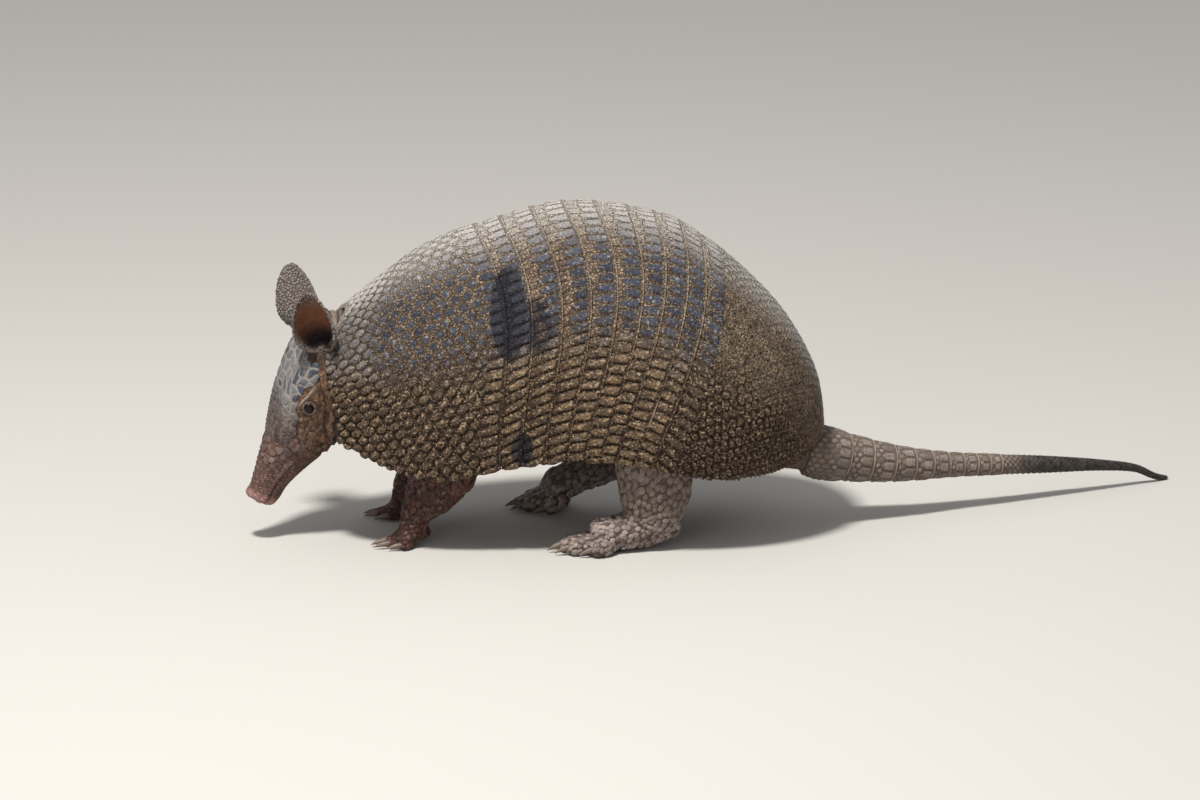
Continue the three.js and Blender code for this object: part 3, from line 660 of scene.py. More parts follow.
# Pale flecks: partly fine pale hairs and scratches, partly painted highlights.
pale_flecks_and_highlights = (tree.smooth(fleck, 0.54, 0.66) * (0.36 + low * 0.24 - slate * (1 - low) * 0.22)
               * (1 - tree.smooth(stain, 0.1, 0.4) * 0.85))
scute_tone = tree.paint(tree.mix(tree.smooth(slate, 0.15, 0.75), bed, cover),
                        (worn * 0.6, (0.2, 0.14, 0.075)),
                        (bleach_and_sky_highlight * 0.72, (0.56, 0.525, 0.49)),
                        (cover_edge_shade * 0.9, (0.014, 0.01, 0.008)),
                        (rubbed_edge, edge_tone),
                        (pit_colour_and_shade, (0.012, 0.008, 0.006)),
                        (low_flank_shade, (0.02, 0.011, 0.006)),
                        (stained, (0.007, 0.009, 0.019)),
                        (tree.smooth(speck, 0.5, 0.62) * (0.45 + low * 0.35), (0.03, 0.02, 0.014)),
                        (pale_flecks_and_highlights, (0.5, 0.4, 0.29)))
scute_tone = tree.mix(low * 0.8, scute_tone, (1.0, 0.87, 0.74), "MULTIPLY")
chafe = spot(tree, x, y, z, (39.5, -74, 86), (6, 16, 15)) * tree.smooth(ridge, 0.3, 0.8)
scute_tone = tree.paint(scute_tone, (chafe * 0.9, (0.42, 0.27, 0.24)))
finish_material(tree, scute_tone, 0.78 - tree.smooth(slate, 0.3, 0.8) * 0.26 + fine * 0.12,
                fine * 0.4 + medium * 0.4 + fleck * 0.7 + grains * (1 - slate) * 0.6, 0.0015, 0.32)
print("nodes in the shell's material:", len(shell_material.node_tree.nodes))

# %% Raise the scutes of the shell
remember(shoulder, "plain", np.ones(len(shoulder.data.vertices)))
remember(hips, "pitted", np.ones(len(hips.data.vertices)))
run_tree(shoulder, scutes, {"Band row": 12.5, "Half row": 4.1, "Half column": 6.1, "Seed": 1.0,
                            "Collar": 1.0, "Rise": 0.72, "Material": shell_material})
for k, band in enumerate(bands):
    run_tree(band, scutes, {"Band row": 99.0, "Band pitch": 6.5 + 0.12 * (k % 3), "Seed": 2.0 + k,
                            "Rise": 0.7, "Material": shell_material})
run_tree(hips, scutes, {"Front row": 13.0, "Half row": 3.2, "Half column": 4.7, "Ridge": 0.6,
                        "Rise": 0.7, "Pitted": 1.0, "Seed": 20.0, "Material": shell_material})
print("triangles of the shell:", triangles(shoulder, *bands, hips))

# %% [markdown]
# ## The head
# The head is a long cone that hangs from the shoulders. Like the shell it is drawn by
# rings: where they sit on a line from the back of the head to the nose, how far the
# forehead and the throat lie from that line, and half the width. The head has its own
# frame, +X to the nose and +Z to the forehead, which is tipped and turned into place.

# %% The rule for the head
#          at, top, throat, half
HEAD = np.array([(-12, 4, -30, 13), (-6, 10, -38, 19), (4, 13.2, -42, 22), (17, 14.7, -44, 23.5),
                 (33, 13.4, -44, 23), (46, 11.5, -42, 21), (60, 8, -36.5, 17.5), (72, 5, -31, 14),
                 (84, 3, -25.5, 11), (95, 1, -21.5, 9), (104, -0.6, -20.3, 8.8),
                 (109, -1.6, -18.5, 7.8), (111, -4.5, -15, 5)], float)
HEAD_AT = np.array([-154, -1, 127.5])
HEAD_TURNS = np.array(Matrix.Rotation(math.pi + math.radians(5), 3, "Z")
                      @ Matrix.Rotation(math.radians(64), 3, "Y"))
HEAD_WAIST = 0.42
SHIELD_FROM, SHIELD_TO, SHIELD_THICKNESS = 2, 7, 1.6
EYE_AT, EYE_RADIUS = np.array([43, 18.6, -8.2]), 3.7


def shield_span(t):
    """How far down each side the head shield reaches, least above the eyes."""
    rings = [2, 2.7, 3.4, 4.2, 4.9, 5.6, 6.3, 7]
    degrees = [62, 80, 80, 63, 61, 76, 84, 80]
    return np.radians(np.interp(t, rings, degrees))


def shield_start(share):
    """Where the shield begins: further forward beside the ears than between them."""
    return SHIELD_FROM + 0.95 * np.clip((np.abs(share) - 0.3) / 0.35, 0, 1) ** 1.5


def head_local(t, angle, depth):
    """A point depth millimetres under the head's surface, in the head's own frame."""
    at, crown, throat, half = np.moveaxis(through(HEAD, t), -1, 0)
    waist = crown - (crown - throat) * HEAD_WAIST
    reach = np.where(np.cos(angle) > 0, crown - waist, waist - throat)
    return np.stack([at, (half - depth) * np.sin(angle), waist + (reach - depth) * np.cos(angle)], -1)


def head_place(points):
    """From the head's own frame to body millimetres."""
    return points @ HEAD_TURNS.T + HEAD_AT


print("nose at", (head_place(np.array([111.0, 0, -9])) + SHIFT).round(1))

# %% [markdown]
# ## The head shield
# Large flat scutes cover the forehead and the top of the muzzle. They are irregular, as
# cracks in dried mud are, so their layout comes from Voronoi cells and not from rows.
# Thin pale lines part them.

# %% Head shield
def head_rule(u, v, side):
    start = shield_start(v * 2 - 1)
    t = start + (SHIELD_TO - start) * u
    scallop = 1 + 0.035 * np.sin(u * 43) * (np.abs(v * 2 - 1) > 0.8)
    angle = (v * 2 - 1) * shield_span(t) * scallop
    edge = np.minimum(np.minimum(u, 1 - u) * 6, np.minimum(v, 1 - v) * 5)
    sink = 0.9 * (1 - np.clip(edge, 0, 1)) ** 2
    return head_place(head_local(t, angle, sink if side == 0 else SHIELD_THICKNESS))


HEAD_SIZES = {"Scute": 6.0, "Rise": 0.5, "Seed": 1.0, "Material": None}
head_scutes, tree, size = geometry_tree("head_scutes", HEAD_SIZES)
front, around_back, outer = (stored(tree, name) for name in ("front", "around", "outer"))
place = tree.add("GeometryNodeInputPosition")
crowd = 1 + tree.smooth(front, 30.0, 74.0) * 0.75
spread = tree.vector(front / size["Scute"] * crowd * 0.9, around_back / size["Scute"] * crowd,
                     size["Seed"])
cells = {}
for feature, out in (("DISTANCE_TO_EDGE", 0), ("F1", 1)):
    cells[feature] = tree.add("ShaderNodeTexVoronoi", {"feature": feature, "voronoi_dimensions": "2D"},
                              {"Vector": spread, "Scale": 1.0, "Randomness": 0.72}, out=out)
to_edge = cells["DISTANCE_TO_EDGE"]
core = tree.smooth(to_edge, 0.04, 0.17)
luck = tree.add("ShaderNodeSeparateXYZ", None, {0: cells["F1"]})
slate = tree.smooth(to_edge, 0.008, 0.04)
grain = tree.voronoi(place, 900.0, "F1")
lift = tree.smooth(to_edge, 0.0, 0.3) * size["Rise"] + (0.5 - grain) * 0.06
moved = lifted(tree, size["Geometry"], lift * outer)
for name, value in (("slate", slate), ("cell", luck), ("core", core)):
    moved = store(tree, moved, name, value)
end_tree(tree, moved, size["Material"])

head_material, tree = new_material("head_scutes")
where = object_place(tree)
slate, cell, core, front = attributes(tree, "slate", "cell", "core", "front")
medium = tree.noise(where, 170.0, 3.0)
fine = tree.noise(where, 1100.0, 4.0)
smear = tree.noise(where, 620.0, 3.0)
crown_tone = tree.mix(core, (0.25, 0.228, 0.205),
                      tree.mix(tree.smooth(cell, 0.1, 0.9), (0.04, 0.05, 0.078), (0.17, 0.17, 0.176)))
muzzle_plate_tone = tree.mix(core, (0.125, 0.09, 0.08),
                             tree.mix(cell, (0.03, 0.021, 0.022), (0.1, 0.07, 0.064)))
plate_tone = tree.paint(crown_tone,
                        (tree.smooth(front + (medium - 0.5) * 26, 26.0, 52.0), muzzle_plate_tone),
                        (tree.smooth(medium, 0.5, 0.72) * 0.38, (0.26, 0.235, 0.215)),
                        (tree.smooth(smear, 0.52, 0.66) * 0.5, (0.035, 0.03, 0.03)))
line_tone = tree.mix(tree.smooth(front, 26.0, 55.0), (0.28, 0.245, 0.21), (0.2, 0.145, 0.12))
finish_material(tree, tree.mix(slate, line_tone, plate_tone), 0.62 - slate * 0.14 + fine * 0.1,
                fine * 0.5 + medium * 0.5, 0.0009)

head_shield = measured_plate("head_shield_plate", head_rule, 17, 14)
run_tree(head_shield, head_scutes, {"Seed": 1.0, "Material": head_material})
print("points of the head shield:", len(head_shield.data.vertices))

# %% [markdown]
# ## The tail
# The root of the tail is armoured with ten rings, each with rows of small scales. Each
# ring's rear edge stands over the next ring, which is tucked in a little under it, so
# that no slit shows. The last third has no rings, only scales that get smaller and
# darker. All are tubes round one smooth middle line.

# %% The tail's middle line
#          x, y, z, radius
TAIL = np.array([(136, -1, 46.5, 14.6), (146, 0, 44.6, 15.8), (160, 4, 40.5, 14.1),
                 (193, 12, 33.3, 10.4), (229, 24, 28.3, 7), (253, 32, 25.6, 6.1),
                 (289, 46, 21, 5), (325, 60, 15.8, 3.2), (348, 70, 10.5, 2.2),
                 (361, 76, 3.6, 1.7), (369, 80, 0.9, 1.3)], float)
TAIL_RINGS, TAIL_ROOT_LENGTH, TAIL_RING_LENGTH, TAIL_RING_SHRINK = 10, 25, 16.5, 0.91
TAIL_FLARE = 0.5
TAIL_TUCK = 0.6
# The tip lies on the floor. No point is lower than this, so that its scutes clear it.
TAIL_LOWEST = 0.62
TAIL_ROW_STEP = 0.42
TAIL_SCUTE_WIDTH = 6.2


def centripetal(points, count=60):
    """The middle line as many close points: a centripetal Catmull-Rom curve."""
    ends = np.vstack([2 * points[0] - points[1], points, 2 * points[-1] - points[-2]])
    line = []
    for k in range(1, len(ends) - 2):
        p = ends[k - 1:k + 3]
        gaps = np.linalg.norm(np.diff(p[:, :3], axis=0), axis=1) ** 0.5
        f = np.linspace(0, 1, count, endpoint=False)[:, None]
        tangents = [(p[j + 1] - p[j]) / gaps[j] - (p[j + 2] - p[j]) / (gaps[j] + gaps[j + 1])
                    + (p[j + 2] - p[j + 1]) / gaps[j + 1] for j in (0, 1)]
        a, b = tangents[0] * gaps[1], tangents[1] * gaps[1]
        d = p[2] - p[1]
        line.append(p[1] + f * a + f ** 2 * (3 * d - 2 * a - b) + f ** 3 * (a + b - 2 * d))
    return np.vstack([*line, points[-1:]])


tail_line = centripetal(TAIL)
tail_run = lengths(tail_line[:, :3], 0)
print("tail length in mm:", round(tail_run[-1], 1))


def tail_at(s):
    """Middle and radius at lengths s, and two directions square to the line."""
    def on_line(run):
        run = np.clip(run, 0, tail_run[-1])
        return np.stack([np.interp(run, tail_run, column) for column in tail_line.T], -1)

    at = on_line(s)
    along = unit((on_line(s + 1) - on_line(s - 1))[..., :3])
    across = unit(np.cross(np.broadcast_to([0.0, 0, 1], along.shape), along))
    return at[..., :3], at[..., 3], np.cross(along, across), across


# %% Tubes with closed ends
def closed_tube(name, grid, measures):
    """A tube from a grid of points, rows along it and columns around it."""
    nu, nv = grid.shape[:2]
    points = np.concatenate([grid.reshape(-1, 3), grid[0].mean(0)[None], grid[-1].mean(0)[None]])
    o = np.arange(nu * nv).reshape(nu, nv)
    right = np.roll(o, -1, 1)
    quads = np.stack([o[:-1], right[:-1], right[1:], o[1:]], -1).reshape(-1, 4)
    u, v = np.meshgrid(0.03 + 0.94 * np.linspace(0, 1, nu), np.linspace(0, 1, nv + 1), indexing="ij")
    uv = np.stack([u, 0.02 + 0.96 * v], -1)
    places = np.stack([uv[:-1, :-1], uv[:-1, 1:], uv[1:, 1:], uv[1:, :-1]], -2).reshape(-1, 2).tolist()
    faces = [tuple(f) for f in quads.tolist()]
    for ring, centre, flip, at in ((o[0], nu * nv, True, 0.0), (o[-1], nu * nv + 1, False, 0.98)):
        for k in range(nv):
            pair = (int(ring[k]), int(ring[(k + 1) % nv]))
            faces.append((*(pair[::-1] if flip else pair), centre))
            for out, f in ((0.01, 0.0), (0.01, 1.0), (0.0, 0.5)):
                places.append([at + out, 0.02 + 0.96 * (k + f) / nv])
    obj = mesh_object(name, points, faces, places)
    for title, numbers in measures.items():
        remember(obj, title, np.concatenate([numbers.ravel(), [0, 0]]))
    return obj


def tail_piece(name, start, end, rows, columns, flare):
    """A tube of the tail between two lengths along it, and its mean radius."""
    s, angle = np.meshgrid(np.linspace(start - TAIL_TUCK, end - GAP / 2, rows),
                           np.pi - np.arange(columns) * 2 * np.pi / columns, indexing="ij")
    middle, radius, up, across = tail_at(s)
    f = (s - start) / (end - start)
    reach = radius + flare * f - 0.7 * np.clip(1 - (s - start) / 1.5, 0, 1)
    grid = middle + (up * np.cos(angle)[..., None] + across * np.sin(angle)[..., None]) * reach[..., None]
    grid[..., 2] = np.maximum(grid[..., 2], TAIL_LOWEST)
    mean = float(radius.mean())
    return closed_tube(name, grid, {
        "front": s - start, "rear": end - s, "around": angle * mean, "side": np.abs(angle) / np.pi,
        "outer": np.ones_like(s), "far": s / tail_run[-1]}), mean


tail_material, tree = new_material("tail_scales")
where = object_place(tree)
slate, pit, ridge, cell, side, far = attributes(tree, "slate", "pit", "ridge", "cell", "side", "far")
medium = tree.noise(where, 150.0, 3.0)
fine = tree.noise(where, 1000.0, 4.0)
smear = tree.noise(where, 700.0, 3.0)
scale_tone = tree.paint(tree.mix(cell, (0.11, 0.1, 0.098), (0.26, 0.225, 0.2)),
                        (tree.smooth(medium, 0.45, 0.7) * 0.7, (0.21, 0.15, 0.105)),
                        (tree.smooth(smear, 0.5, 0.66) * 0.6, (0.05, 0.038, 0.032)))
dark_tone = tree.mix(cell * 0.8, (0.012, 0.01, 0.009), (0.06, 0.048, 0.04))
tail_tone = tree.paint(tree.mix(tree.smooth(slate, 0.2, 0.8), (0.14, 0.1, 0.076), scale_tone),
                       (ridge * 0.75, (0.36, 0.3, 0.25)),
                       (pit * 0.7, (0.03, 0.022, 0.018)),
                       # Painted shade: the underside of the tail is darker.
                       (tree.smooth(side, 0.45, 0.95) * 0.45, (0.1, 0.07, 0.055)),
                       (tree.smooth(far + (medium - 0.5) * 0.12, 0.53, 0.61), dark_tone))
finish_material(tree, tail_tone, 0.6 + fine * 0.14, fine * 0.5 + medium * 0.3, 0.0004)

# %% The tail's rings and its end
tail_pieces = []
start = 0.0
for k in range(TAIL_RINGS):
    end = start + (TAIL_ROOT_LENGTH if k == 0 else TAIL_RING_LENGTH * TAIL_RING_SHRINK ** (k - 1))
    rows = int((end - start) / TAIL_ROW_STEP)
    ring, mean = tail_piece(f"tail_ring_{k + 1}_scales", start, end, rows, 150 - 7 * k, TAIL_FLARE)
    around = max(8, round(2 * math.pi * mean / TAIL_SCUTE_WIDTH))
    run_tree(ring, scutes, {"Band row": 9.5 - 0.45 * k, "Band pitch": 2 * math.pi * mean / around,
                            "Half row": 2.2, "Half column": math.pi * mean / around,
                            "Rise": 0.5 - 0.02 * k, "Ridge": 0.8, "Seed": 40.0 + k,
                            "Material": tail_material})
    tail_pieces.append((ring, [f"tail_ring_{k + 1}"], "tail_ring"))
    start = end
whip, mean = tail_piece("tail_whip", start, tail_run[-1], 420, 56, 0.0)
run_tree(whip, scutes, {"Half row": 1.9, "Half column": math.pi * mean / 9, "Rise": 0.24, "Ridge": 0.0,
                        "Seed": 60.0, "Material": tail_material})
tail_pieces.append((whip, ["tail_end", "tail_tip"], "tail_end"))
print("tail pieces:", len(tail_pieces))

# %% [markdown]
# ## One skin for the flesh
# Head, neck, ears, belly, legs and feet are one skin on the animal. Their solids, each
# a little swollen, are melted into one by a voxel remesh, which is a mould taken of
# them all at once, so no seam is left. The head and ears come from their own rules,
# finer than the solids, and get small voxels; the rest gets larger ones. The skin is
# then smoothed and drawn in, to lie under the scales. What the shell hides is cut off
# level above its rim and closed again, because nobody can see it there.

# %% Flesh before it is melted together
EAR_LENGTH, EAR_HALF, EAR_WALL = 41, 13.4, 1.5
EARS = {"left": ([-152, -14, 125.5], [-164.5, -34, 160], [-0.45, -1, 0.1]),
        "right": ([-157, 11, 127], [-173.5, 22, 165], [-0.6, 1, 0.1])}


def ear_frame(name):
    """An ear's base and its directions: where it opens, across and up."""
    base, tip, opening = (np.array(v, float) for v in EARS[name])
    rise = unit(tip - base)
    across = unit(np.cross(rise, opening))
    return base, np.stack([np.cross(across, rise), across, rise])


def ear_shape(u):
    """Radius of the ear's cup at height u, and how far round it reaches each way."""
    bulge = np.sin(np.pi * (0.06 + 0.92 * np.clip(u, 0, 1))) ** 0.55
    spread = np.radians(172 - 122 * np.clip(u, 0, 1) ** 0.55)
    return EAR_HALF * bulge / np.sin(np.minimum(spread, math.pi / 2)), spread


def ear_sheet(name, rows=56, columns=40):
    """The cup as rings of points: along the outer face and back along the inner one."""
    base, axes = ear_frame(name)
    u, v = np.meshgrid(np.linspace(0, 1, rows), np.linspace(-1, 1, columns), indexing="ij")
    radius, spread = ear_shape(u)
    faces = []
    for side in (0, 1):
        reach = radius - side * EAR_WALL
        local = np.stack([radius - reach * np.cos(v * spread), reach * np.sin(v * spread),
                          u * EAR_LENGTH], -1)
        faces.append(base + local @ axes)
    return np.concatenate([faces[0], faces[1][:, ::-1]], 1)


def head_loft(rows=110, columns=96):
    """Rings round the head, a little sunk where the shield lies."""
    t, angle = np.meshgrid(np.linspace(0, len(HEAD) - 1, rows),
                           np.arange(columns) * 2 * np.pi / columns - np.pi, indexing="ij")
    share = np.abs(angle) / shield_span(t)
    bed = np.clip(1.1 - share, 0, 0.1) / 0.1
    bed = bed * np.clip((t - shield_start(share)) * 2 + 0.4, 0, 1)
    bed = bed * np.clip((SHIELD_TO - t) * 2 + 0.3, 0, 1)
    return head_place(head_local(t, angle, bed * 1.1))


def add_loft(bm, rings):
    """A closed loft: rows of points, fans at both ends."""
    rows = [[bm.verts.new((np.array(p) + SHIFT) * MM) for p in ring] for ring in rings]
    made = []
    columns = len(rows[0])
    for a, b in zip(rows, rows[1:]):
        made += [bm.faces.new((a[k], a[(k + 1) % columns], b[(k + 1) % columns], b[k]))
                 for k in range(columns)]
    for ring in (rows[0], rows[-1]):
        centre = bm.verts.new(sum((v.co for v in ring), Vector()) / columns)
        made += [bm.faces.new((ring[k], ring[(k + 1) % columns], centre)) for k in range(columns)]
    bmesh.ops.recalc_face_normals(bm, faces=made)


def add_solid(bm, name, swell):
    """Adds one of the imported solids, swollen by a few tenths of a millimetre."""
    part = bmesh.new()
    part.from_mesh(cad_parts[name].data)
    bmesh.ops.remove_doubles(part, verts=part.verts, dist=1e-6)
    part.normal_update()
    for vert in part.verts:
        vert.co += vert.normal * swell * MM
    mesh = bpy.data.meshes.new("part")
    part.to_mesh(mesh)
    bm.from_mesh(mesh)
    part.free()


SWELL = 0.35
PLUG_RADIUS, PLUG_HEIGHT = 6.4, 6.0
LEG_NAMES = [f"{end}_{side}_{part}" for end in ("front", "hind") for side in ("left", "right")
             for part in ("leg", "foot")]
fine_flesh, rough_flesh = bmesh.new(), bmesh.new()
add_loft(fine_flesh, head_loft())
# Each ear's open foot is closed by a round plug in the head.
for name in EARS:
    add_loft(fine_flesh, ear_sheet(name))
    base, axes = ear_frame(name)
    bottom = base + axes[0] * 5.2 - axes[2] * 0.5
    plug = np.linspace(0, np.pi, 12)[:, None]
    turn = np.linspace(0, 2 * np.pi, 20, endpoint=False)[None, :]
    add_loft(fine_flesh, bottom + np.stack([PLUG_RADIUS * np.sin(plug) * np.cos(turn),
                                            PLUG_RADIUS * np.sin(plug) * np.sin(turn),
                                            PLUG_HEIGHT * np.cos(plug) + 0 * turn], -1) @ axes)
# The neck fills the front of the shoulder shield.
neck_t, neck_q = np.meshgrid(np.array([0.8, 0.45, 0.2, 0.06, 0.0]), np.linspace(-1, 1, 48),
                             indexing="ij")
collar_ring = shell_point(neck_t, neck_q, 2.9 - 1.9 * (1 - np.clip(neck_t / 0.2, 0, 1)))
front_ring = collar_ring[-1] * [1, 0.93, 0.97] + [-6.0, 0, 4.2]
add_loft(fine_flesh, np.concatenate([collar_ring, front_ring[None]]))
add_solid(fine_flesh, "neck", SWELL)
for name in ["trunk", *LEG_NAMES]:
    add_solid(rough_flesh, name, SWELL)
# The root of the tail runs back into the rump.
root_turn = np.linspace(0, 2 * np.pi, 32, endpoint=False)[:, None]
root_middle, _, root_up, root_across = tail_at(np.array([4.0]))
root_back = unit(np.cross(root_up, root_across))[0]
root_back = root_back * np.sign(-root_back[0])
root_circle = root_up * np.cos(root_turn) + root_across * np.sin(root_turn)
ROOT_RINGS = ((0, 11.5), (2, 13.6), (10, 15.5), (24, 20.0), (44, 24.0))
add_loft(rough_flesh, [root_middle + root_back * further_in + [0, 0, further_in * 0.28]
                       + root_circle * radius for further_in, radius in ROOT_RINGS])
print("corners before melting:", len(fine_flesh.verts), len(rough_flesh.verts))


# %% Melt, smooth and join
FINE_VOXEL, ROUGH_VOXEL = 0.72, 1.15
FINE_ROUNDS, ROUGH_ROUNDS = 6, 150
# Nobody sees the rough flesh above CUT_Z, behind CUT_X, because it is inside the shell.
CUT_X, CUT_Z = -111, 84


def melted(bm, name, voxel):
    """Closed surfaces melted into one by a voxel remesh."""
    mesh = bpy.data.meshes.new(name)
    bm.to_mesh(mesh)
    obj = show(name, mesh)
    remesh = obj.modifiers.new("melt", "REMESH")
    remesh.mode, remesh.voxel_size = "VOXEL", voxel * MM
    result = bpy.data.meshes.new_from_object(obj.evaluated_get(bpy.context.evaluated_depsgraph_get()))
    bpy.data.objects.remove(obj)
    return result


def mesh_points(mesh):
    points = np.empty(len(mesh.vertices) * 3, np.float32)
    mesh.vertices.foreach_get("co", points)
    return points.reshape(-1, 3).astype(float)


def mesh_normals(mesh):
    normals = np.empty(len(mesh.vertices) * 3, np.float32)
    mesh.vertex_normals.foreach_get("vector", normals)
    return normals.reshape(-1, 3).astype(float)


def set_points(mesh, points):
    mesh.vertices.foreach_set("co", points.astype(np.float32).ravel())
    mesh.update()


def smooth_out(mesh, rounds):
    """Evens out a mesh without shrinking it: each push in is followed by a push out."""
    edges = np.empty(len(mesh.edges) * 2, np.int32)
    mesh.edges.foreach_get("vertices", edges)
    a, b = edges.reshape(-1, 2).T
    here, there = np.concatenate([a, b]), np.concatenate([b, a])
    points = mesh_points(mesh)
    count = np.bincount(here, minlength=len(mesh.vertices))
    for share in (0.55, -0.566) * rounds:
        near = np.stack([np.bincount(here, points[there, k], len(count)) for k in range(3)], -1)
        points += share * (near / np.maximum(count, 1)[:, None] - points)
    set_points(mesh, points)


fine_skin = melted(fine_flesh, "fine_skin", FINE_VOXEL)
rough_skin = melted(rough_flesh, "rough_skin", ROUGH_VOXEL)
smooth_out(fine_skin, FINE_ROUNDS)
smooth_out(rough_skin, ROUGH_ROUNDS)

skin_bm = bmesh.new()
skin_bm.from_mesh(rough_skin)
hidden = [face for face in skin_bm.faces
          if (middle := face.calc_center_median() / MM).z > CUT_Z and middle.x > CUT_X + SHIFT[0]]
bmesh.ops.delete(skin_bm, geom=hidden, context="FACES")
bmesh.ops.holes_fill(skin_bm, edges=[e for e in skin_bm.edges if e.is_boundary], sides=0)
rough_count = len(skin_bm.verts)
skin_bm.from_mesh(fine_skin)
skin_bm.verts.ensure_lookup_table()
print("skin corners:", rough_count, "rough,", len(skin_bm.verts) - rough_count, "fine")

# %% [markdown]
# ### Eyes, lids, mouth and nostrils in the skin
# The skin is cut finer round each eye, then pushed inside the eyeball where the lids
# part and lifted just clear of it elsewhere, with a rolled rim. The mouth is a groove
# along the muzzle, and the nostrils are pits in the nose. The cheeks and the neck have
# folds that run round them. The ears were built cup-shaped already; here their hollow,
# their back and their rim are only told apart.

# %% Mouth, nostrils and folds
LID_CUT_REACH = 8.5
eyes = {side: head_place(EYE_AT * [1, sign, 1]) for side, sign in (("left", 1), ("right", -1))}
for centre in eyes.values():
    middle = Vector((centre + SHIFT) * MM)
    near = [edge for edge in skin_bm.edges
            if all((vert.co - middle).length < LID_CUT_REACH * MM for vert in edge.verts)]
    bmesh.ops.subdivide_edges(skin_bm, edges=near, cuts=2, use_grid_fill=True, smooth=0.3)
bmesh.ops.triangulate(skin_bm, faces=[f for f in skin_bm.faces if len(f.verts) > 4])
skin_mesh = bpy.data.meshes.new("skin")
skin_bm.to_mesh(skin_mesh)
skin = show("skin", skin_mesh)
skin_mesh.polygons.foreach_set("use_smooth", np.ones(len(skin_mesh.polygons), bool))


def ramp(value, low, high):
    """0 at low, 1 at high, and a smooth step between, for arrays."""
    f = np.clip((value - low) / (high - low), 0, 1)
    return f * f * (3 - 2 * f)


points = mesh_points(skin_mesh) / MM - SHIFT
normals = mesh_normals(skin_mesh)
head_points = (points - HEAD_AT) @ HEAD_TURNS
at, across, up = head_points.T

ear_mask, ear_inside, ear_height, ear_rim = (np.zeros(len(points)) for k in range(4))
for name in EARS:
    base, axes = ear_frame(name)
    facing, aside, rise = ((points - base) @ axes.T).T
    u = rise / EAR_LENGTH
    radius, spread = ear_shape(u)
    distance = np.hypot(facing - radius, aside)
    near = (np.abs(distance - (radius - EAR_WALL / 2)) < 3.2) & (u > 0.1) & (u < 1.1)
    ear_floor = (distance < radius - 1) & (u > 0) & (u < 0.3) & (rise > 1.0)
    near = near | ear_floor
    part = near * np.maximum(ramp(u, 0.1, 0.3), ear_floor)
    local = normals @ axes.T
    inward = (local[:, 0] * (radius - facing) - local[:, 1] * aside) / np.maximum(distance, 1e-3)
    ear_mask = np.maximum(ear_mask, part)
    ear_inside = np.maximum(ear_inside, near * np.maximum(ramp(inward, -0.1, 0.5), ear_floor))
    ear_height = np.where(near, np.maximum(ear_height, u), ear_height)
    share = np.abs(np.arctan2(aside, radius - facing)) / spread
    ear_rim = np.maximum(ear_rim, near * (u > 0.04) * ramp(np.maximum(share, u * 0.99), 0.66, 0.9))

is_head = (points[:, 0] < -150) & (at > -14) & (ear_mask < 0.2)
EAR_DRAWN_IN, HEAD_DRAWN_IN, BODY_DRAWN_IN = 0.1, 0.15, 0.6
draw_in = np.where(ear_mask > 0.05, EAR_DRAWN_IN, np.where(is_head, HEAD_DRAWN_IN, BODY_DRAWN_IN))
points -= normals * draw_in[:, None]

crown, throat = np.interp(at, HEAD[:, 0], HEAD[:, 1]), np.interp(at, HEAD[:, 0], HEAD[:, 2])
mouth_up = crown - (crown - throat) * (0.7 - 0.06 * ramp(at, 64, 104))
mouth = np.exp(-((up - mouth_up) / 0.55) ** 2) * ramp(at, 66, 84) * is_head
lip = np.exp(-((up - mouth_up - 1.6) / 1.1) ** 2) * ramp(at, 66, 80) * is_head
points += normals * (lip * 0.35 - mouth * 0.8)[:, None]
NOSTRIL_RADIUS = 1.55
nostrils = np.zeros(len(points))
for sign in (1, -1):
    nostril = np.array([110.2, 3.1 * sign, -6.6])
    distance = np.linalg.norm((head_points - nostril) * [0.8, 1, 1.2], axis=1)
    nostrils = np.maximum(nostrils, np.exp(-((distance / NOSTRIL_RADIUS) ** 2)))
points += (normals * -0.3 - HEAD_TURNS[:, 0] * 1.9) * nostrils[:, None]

points += HEAD_TURNS[:, 2] * (is_head * ramp(at, 102, 109) * ramp(up, -13, -5) * 1.5)[:, None]
wrinkles = ramp(at, 70, 78) * ramp(at, 106, 98) * is_head * ramp(up, mouth_up + 1, mouth_up + 3)
points += normals * (wrinkles * np.sin(at * 1.9 + np.sin(up * 0.55) * 1.6 + across * 0.25) * 0.2)[:, None]
folds = ramp(at, 38, 8) * ramp(np.abs(across), 8, 15) * is_head
wave = np.sin(at * 1.05 + up * 0.34 + np.sin(up * 0.5) * 1.2)
points += normals * (folds * wave * 0.5)[:, None]
jaw = ramp(up, -14, -24) * ramp(at, 82, 60) * is_head
points += normals * (jaw * np.sin(at * 0.9 + np.sin(up * 0.7) * 1.5) * 0.22)[:, None]
is_neck = (points[:, 0] < -126) & (points[:, 0] > -156) & (ear_mask < 0.1) & (points[:, 2] > 40)
neck_wave = np.sin(points[:, 0] * 1.3 + points[:, 2] * 0.12 + np.sin(points[:, 2] * 0.2) * 1.2)
points += normals * (is_neck * neck_wave * 0.6)[:, None]
print("mouth, nostrils and folds pressed in")

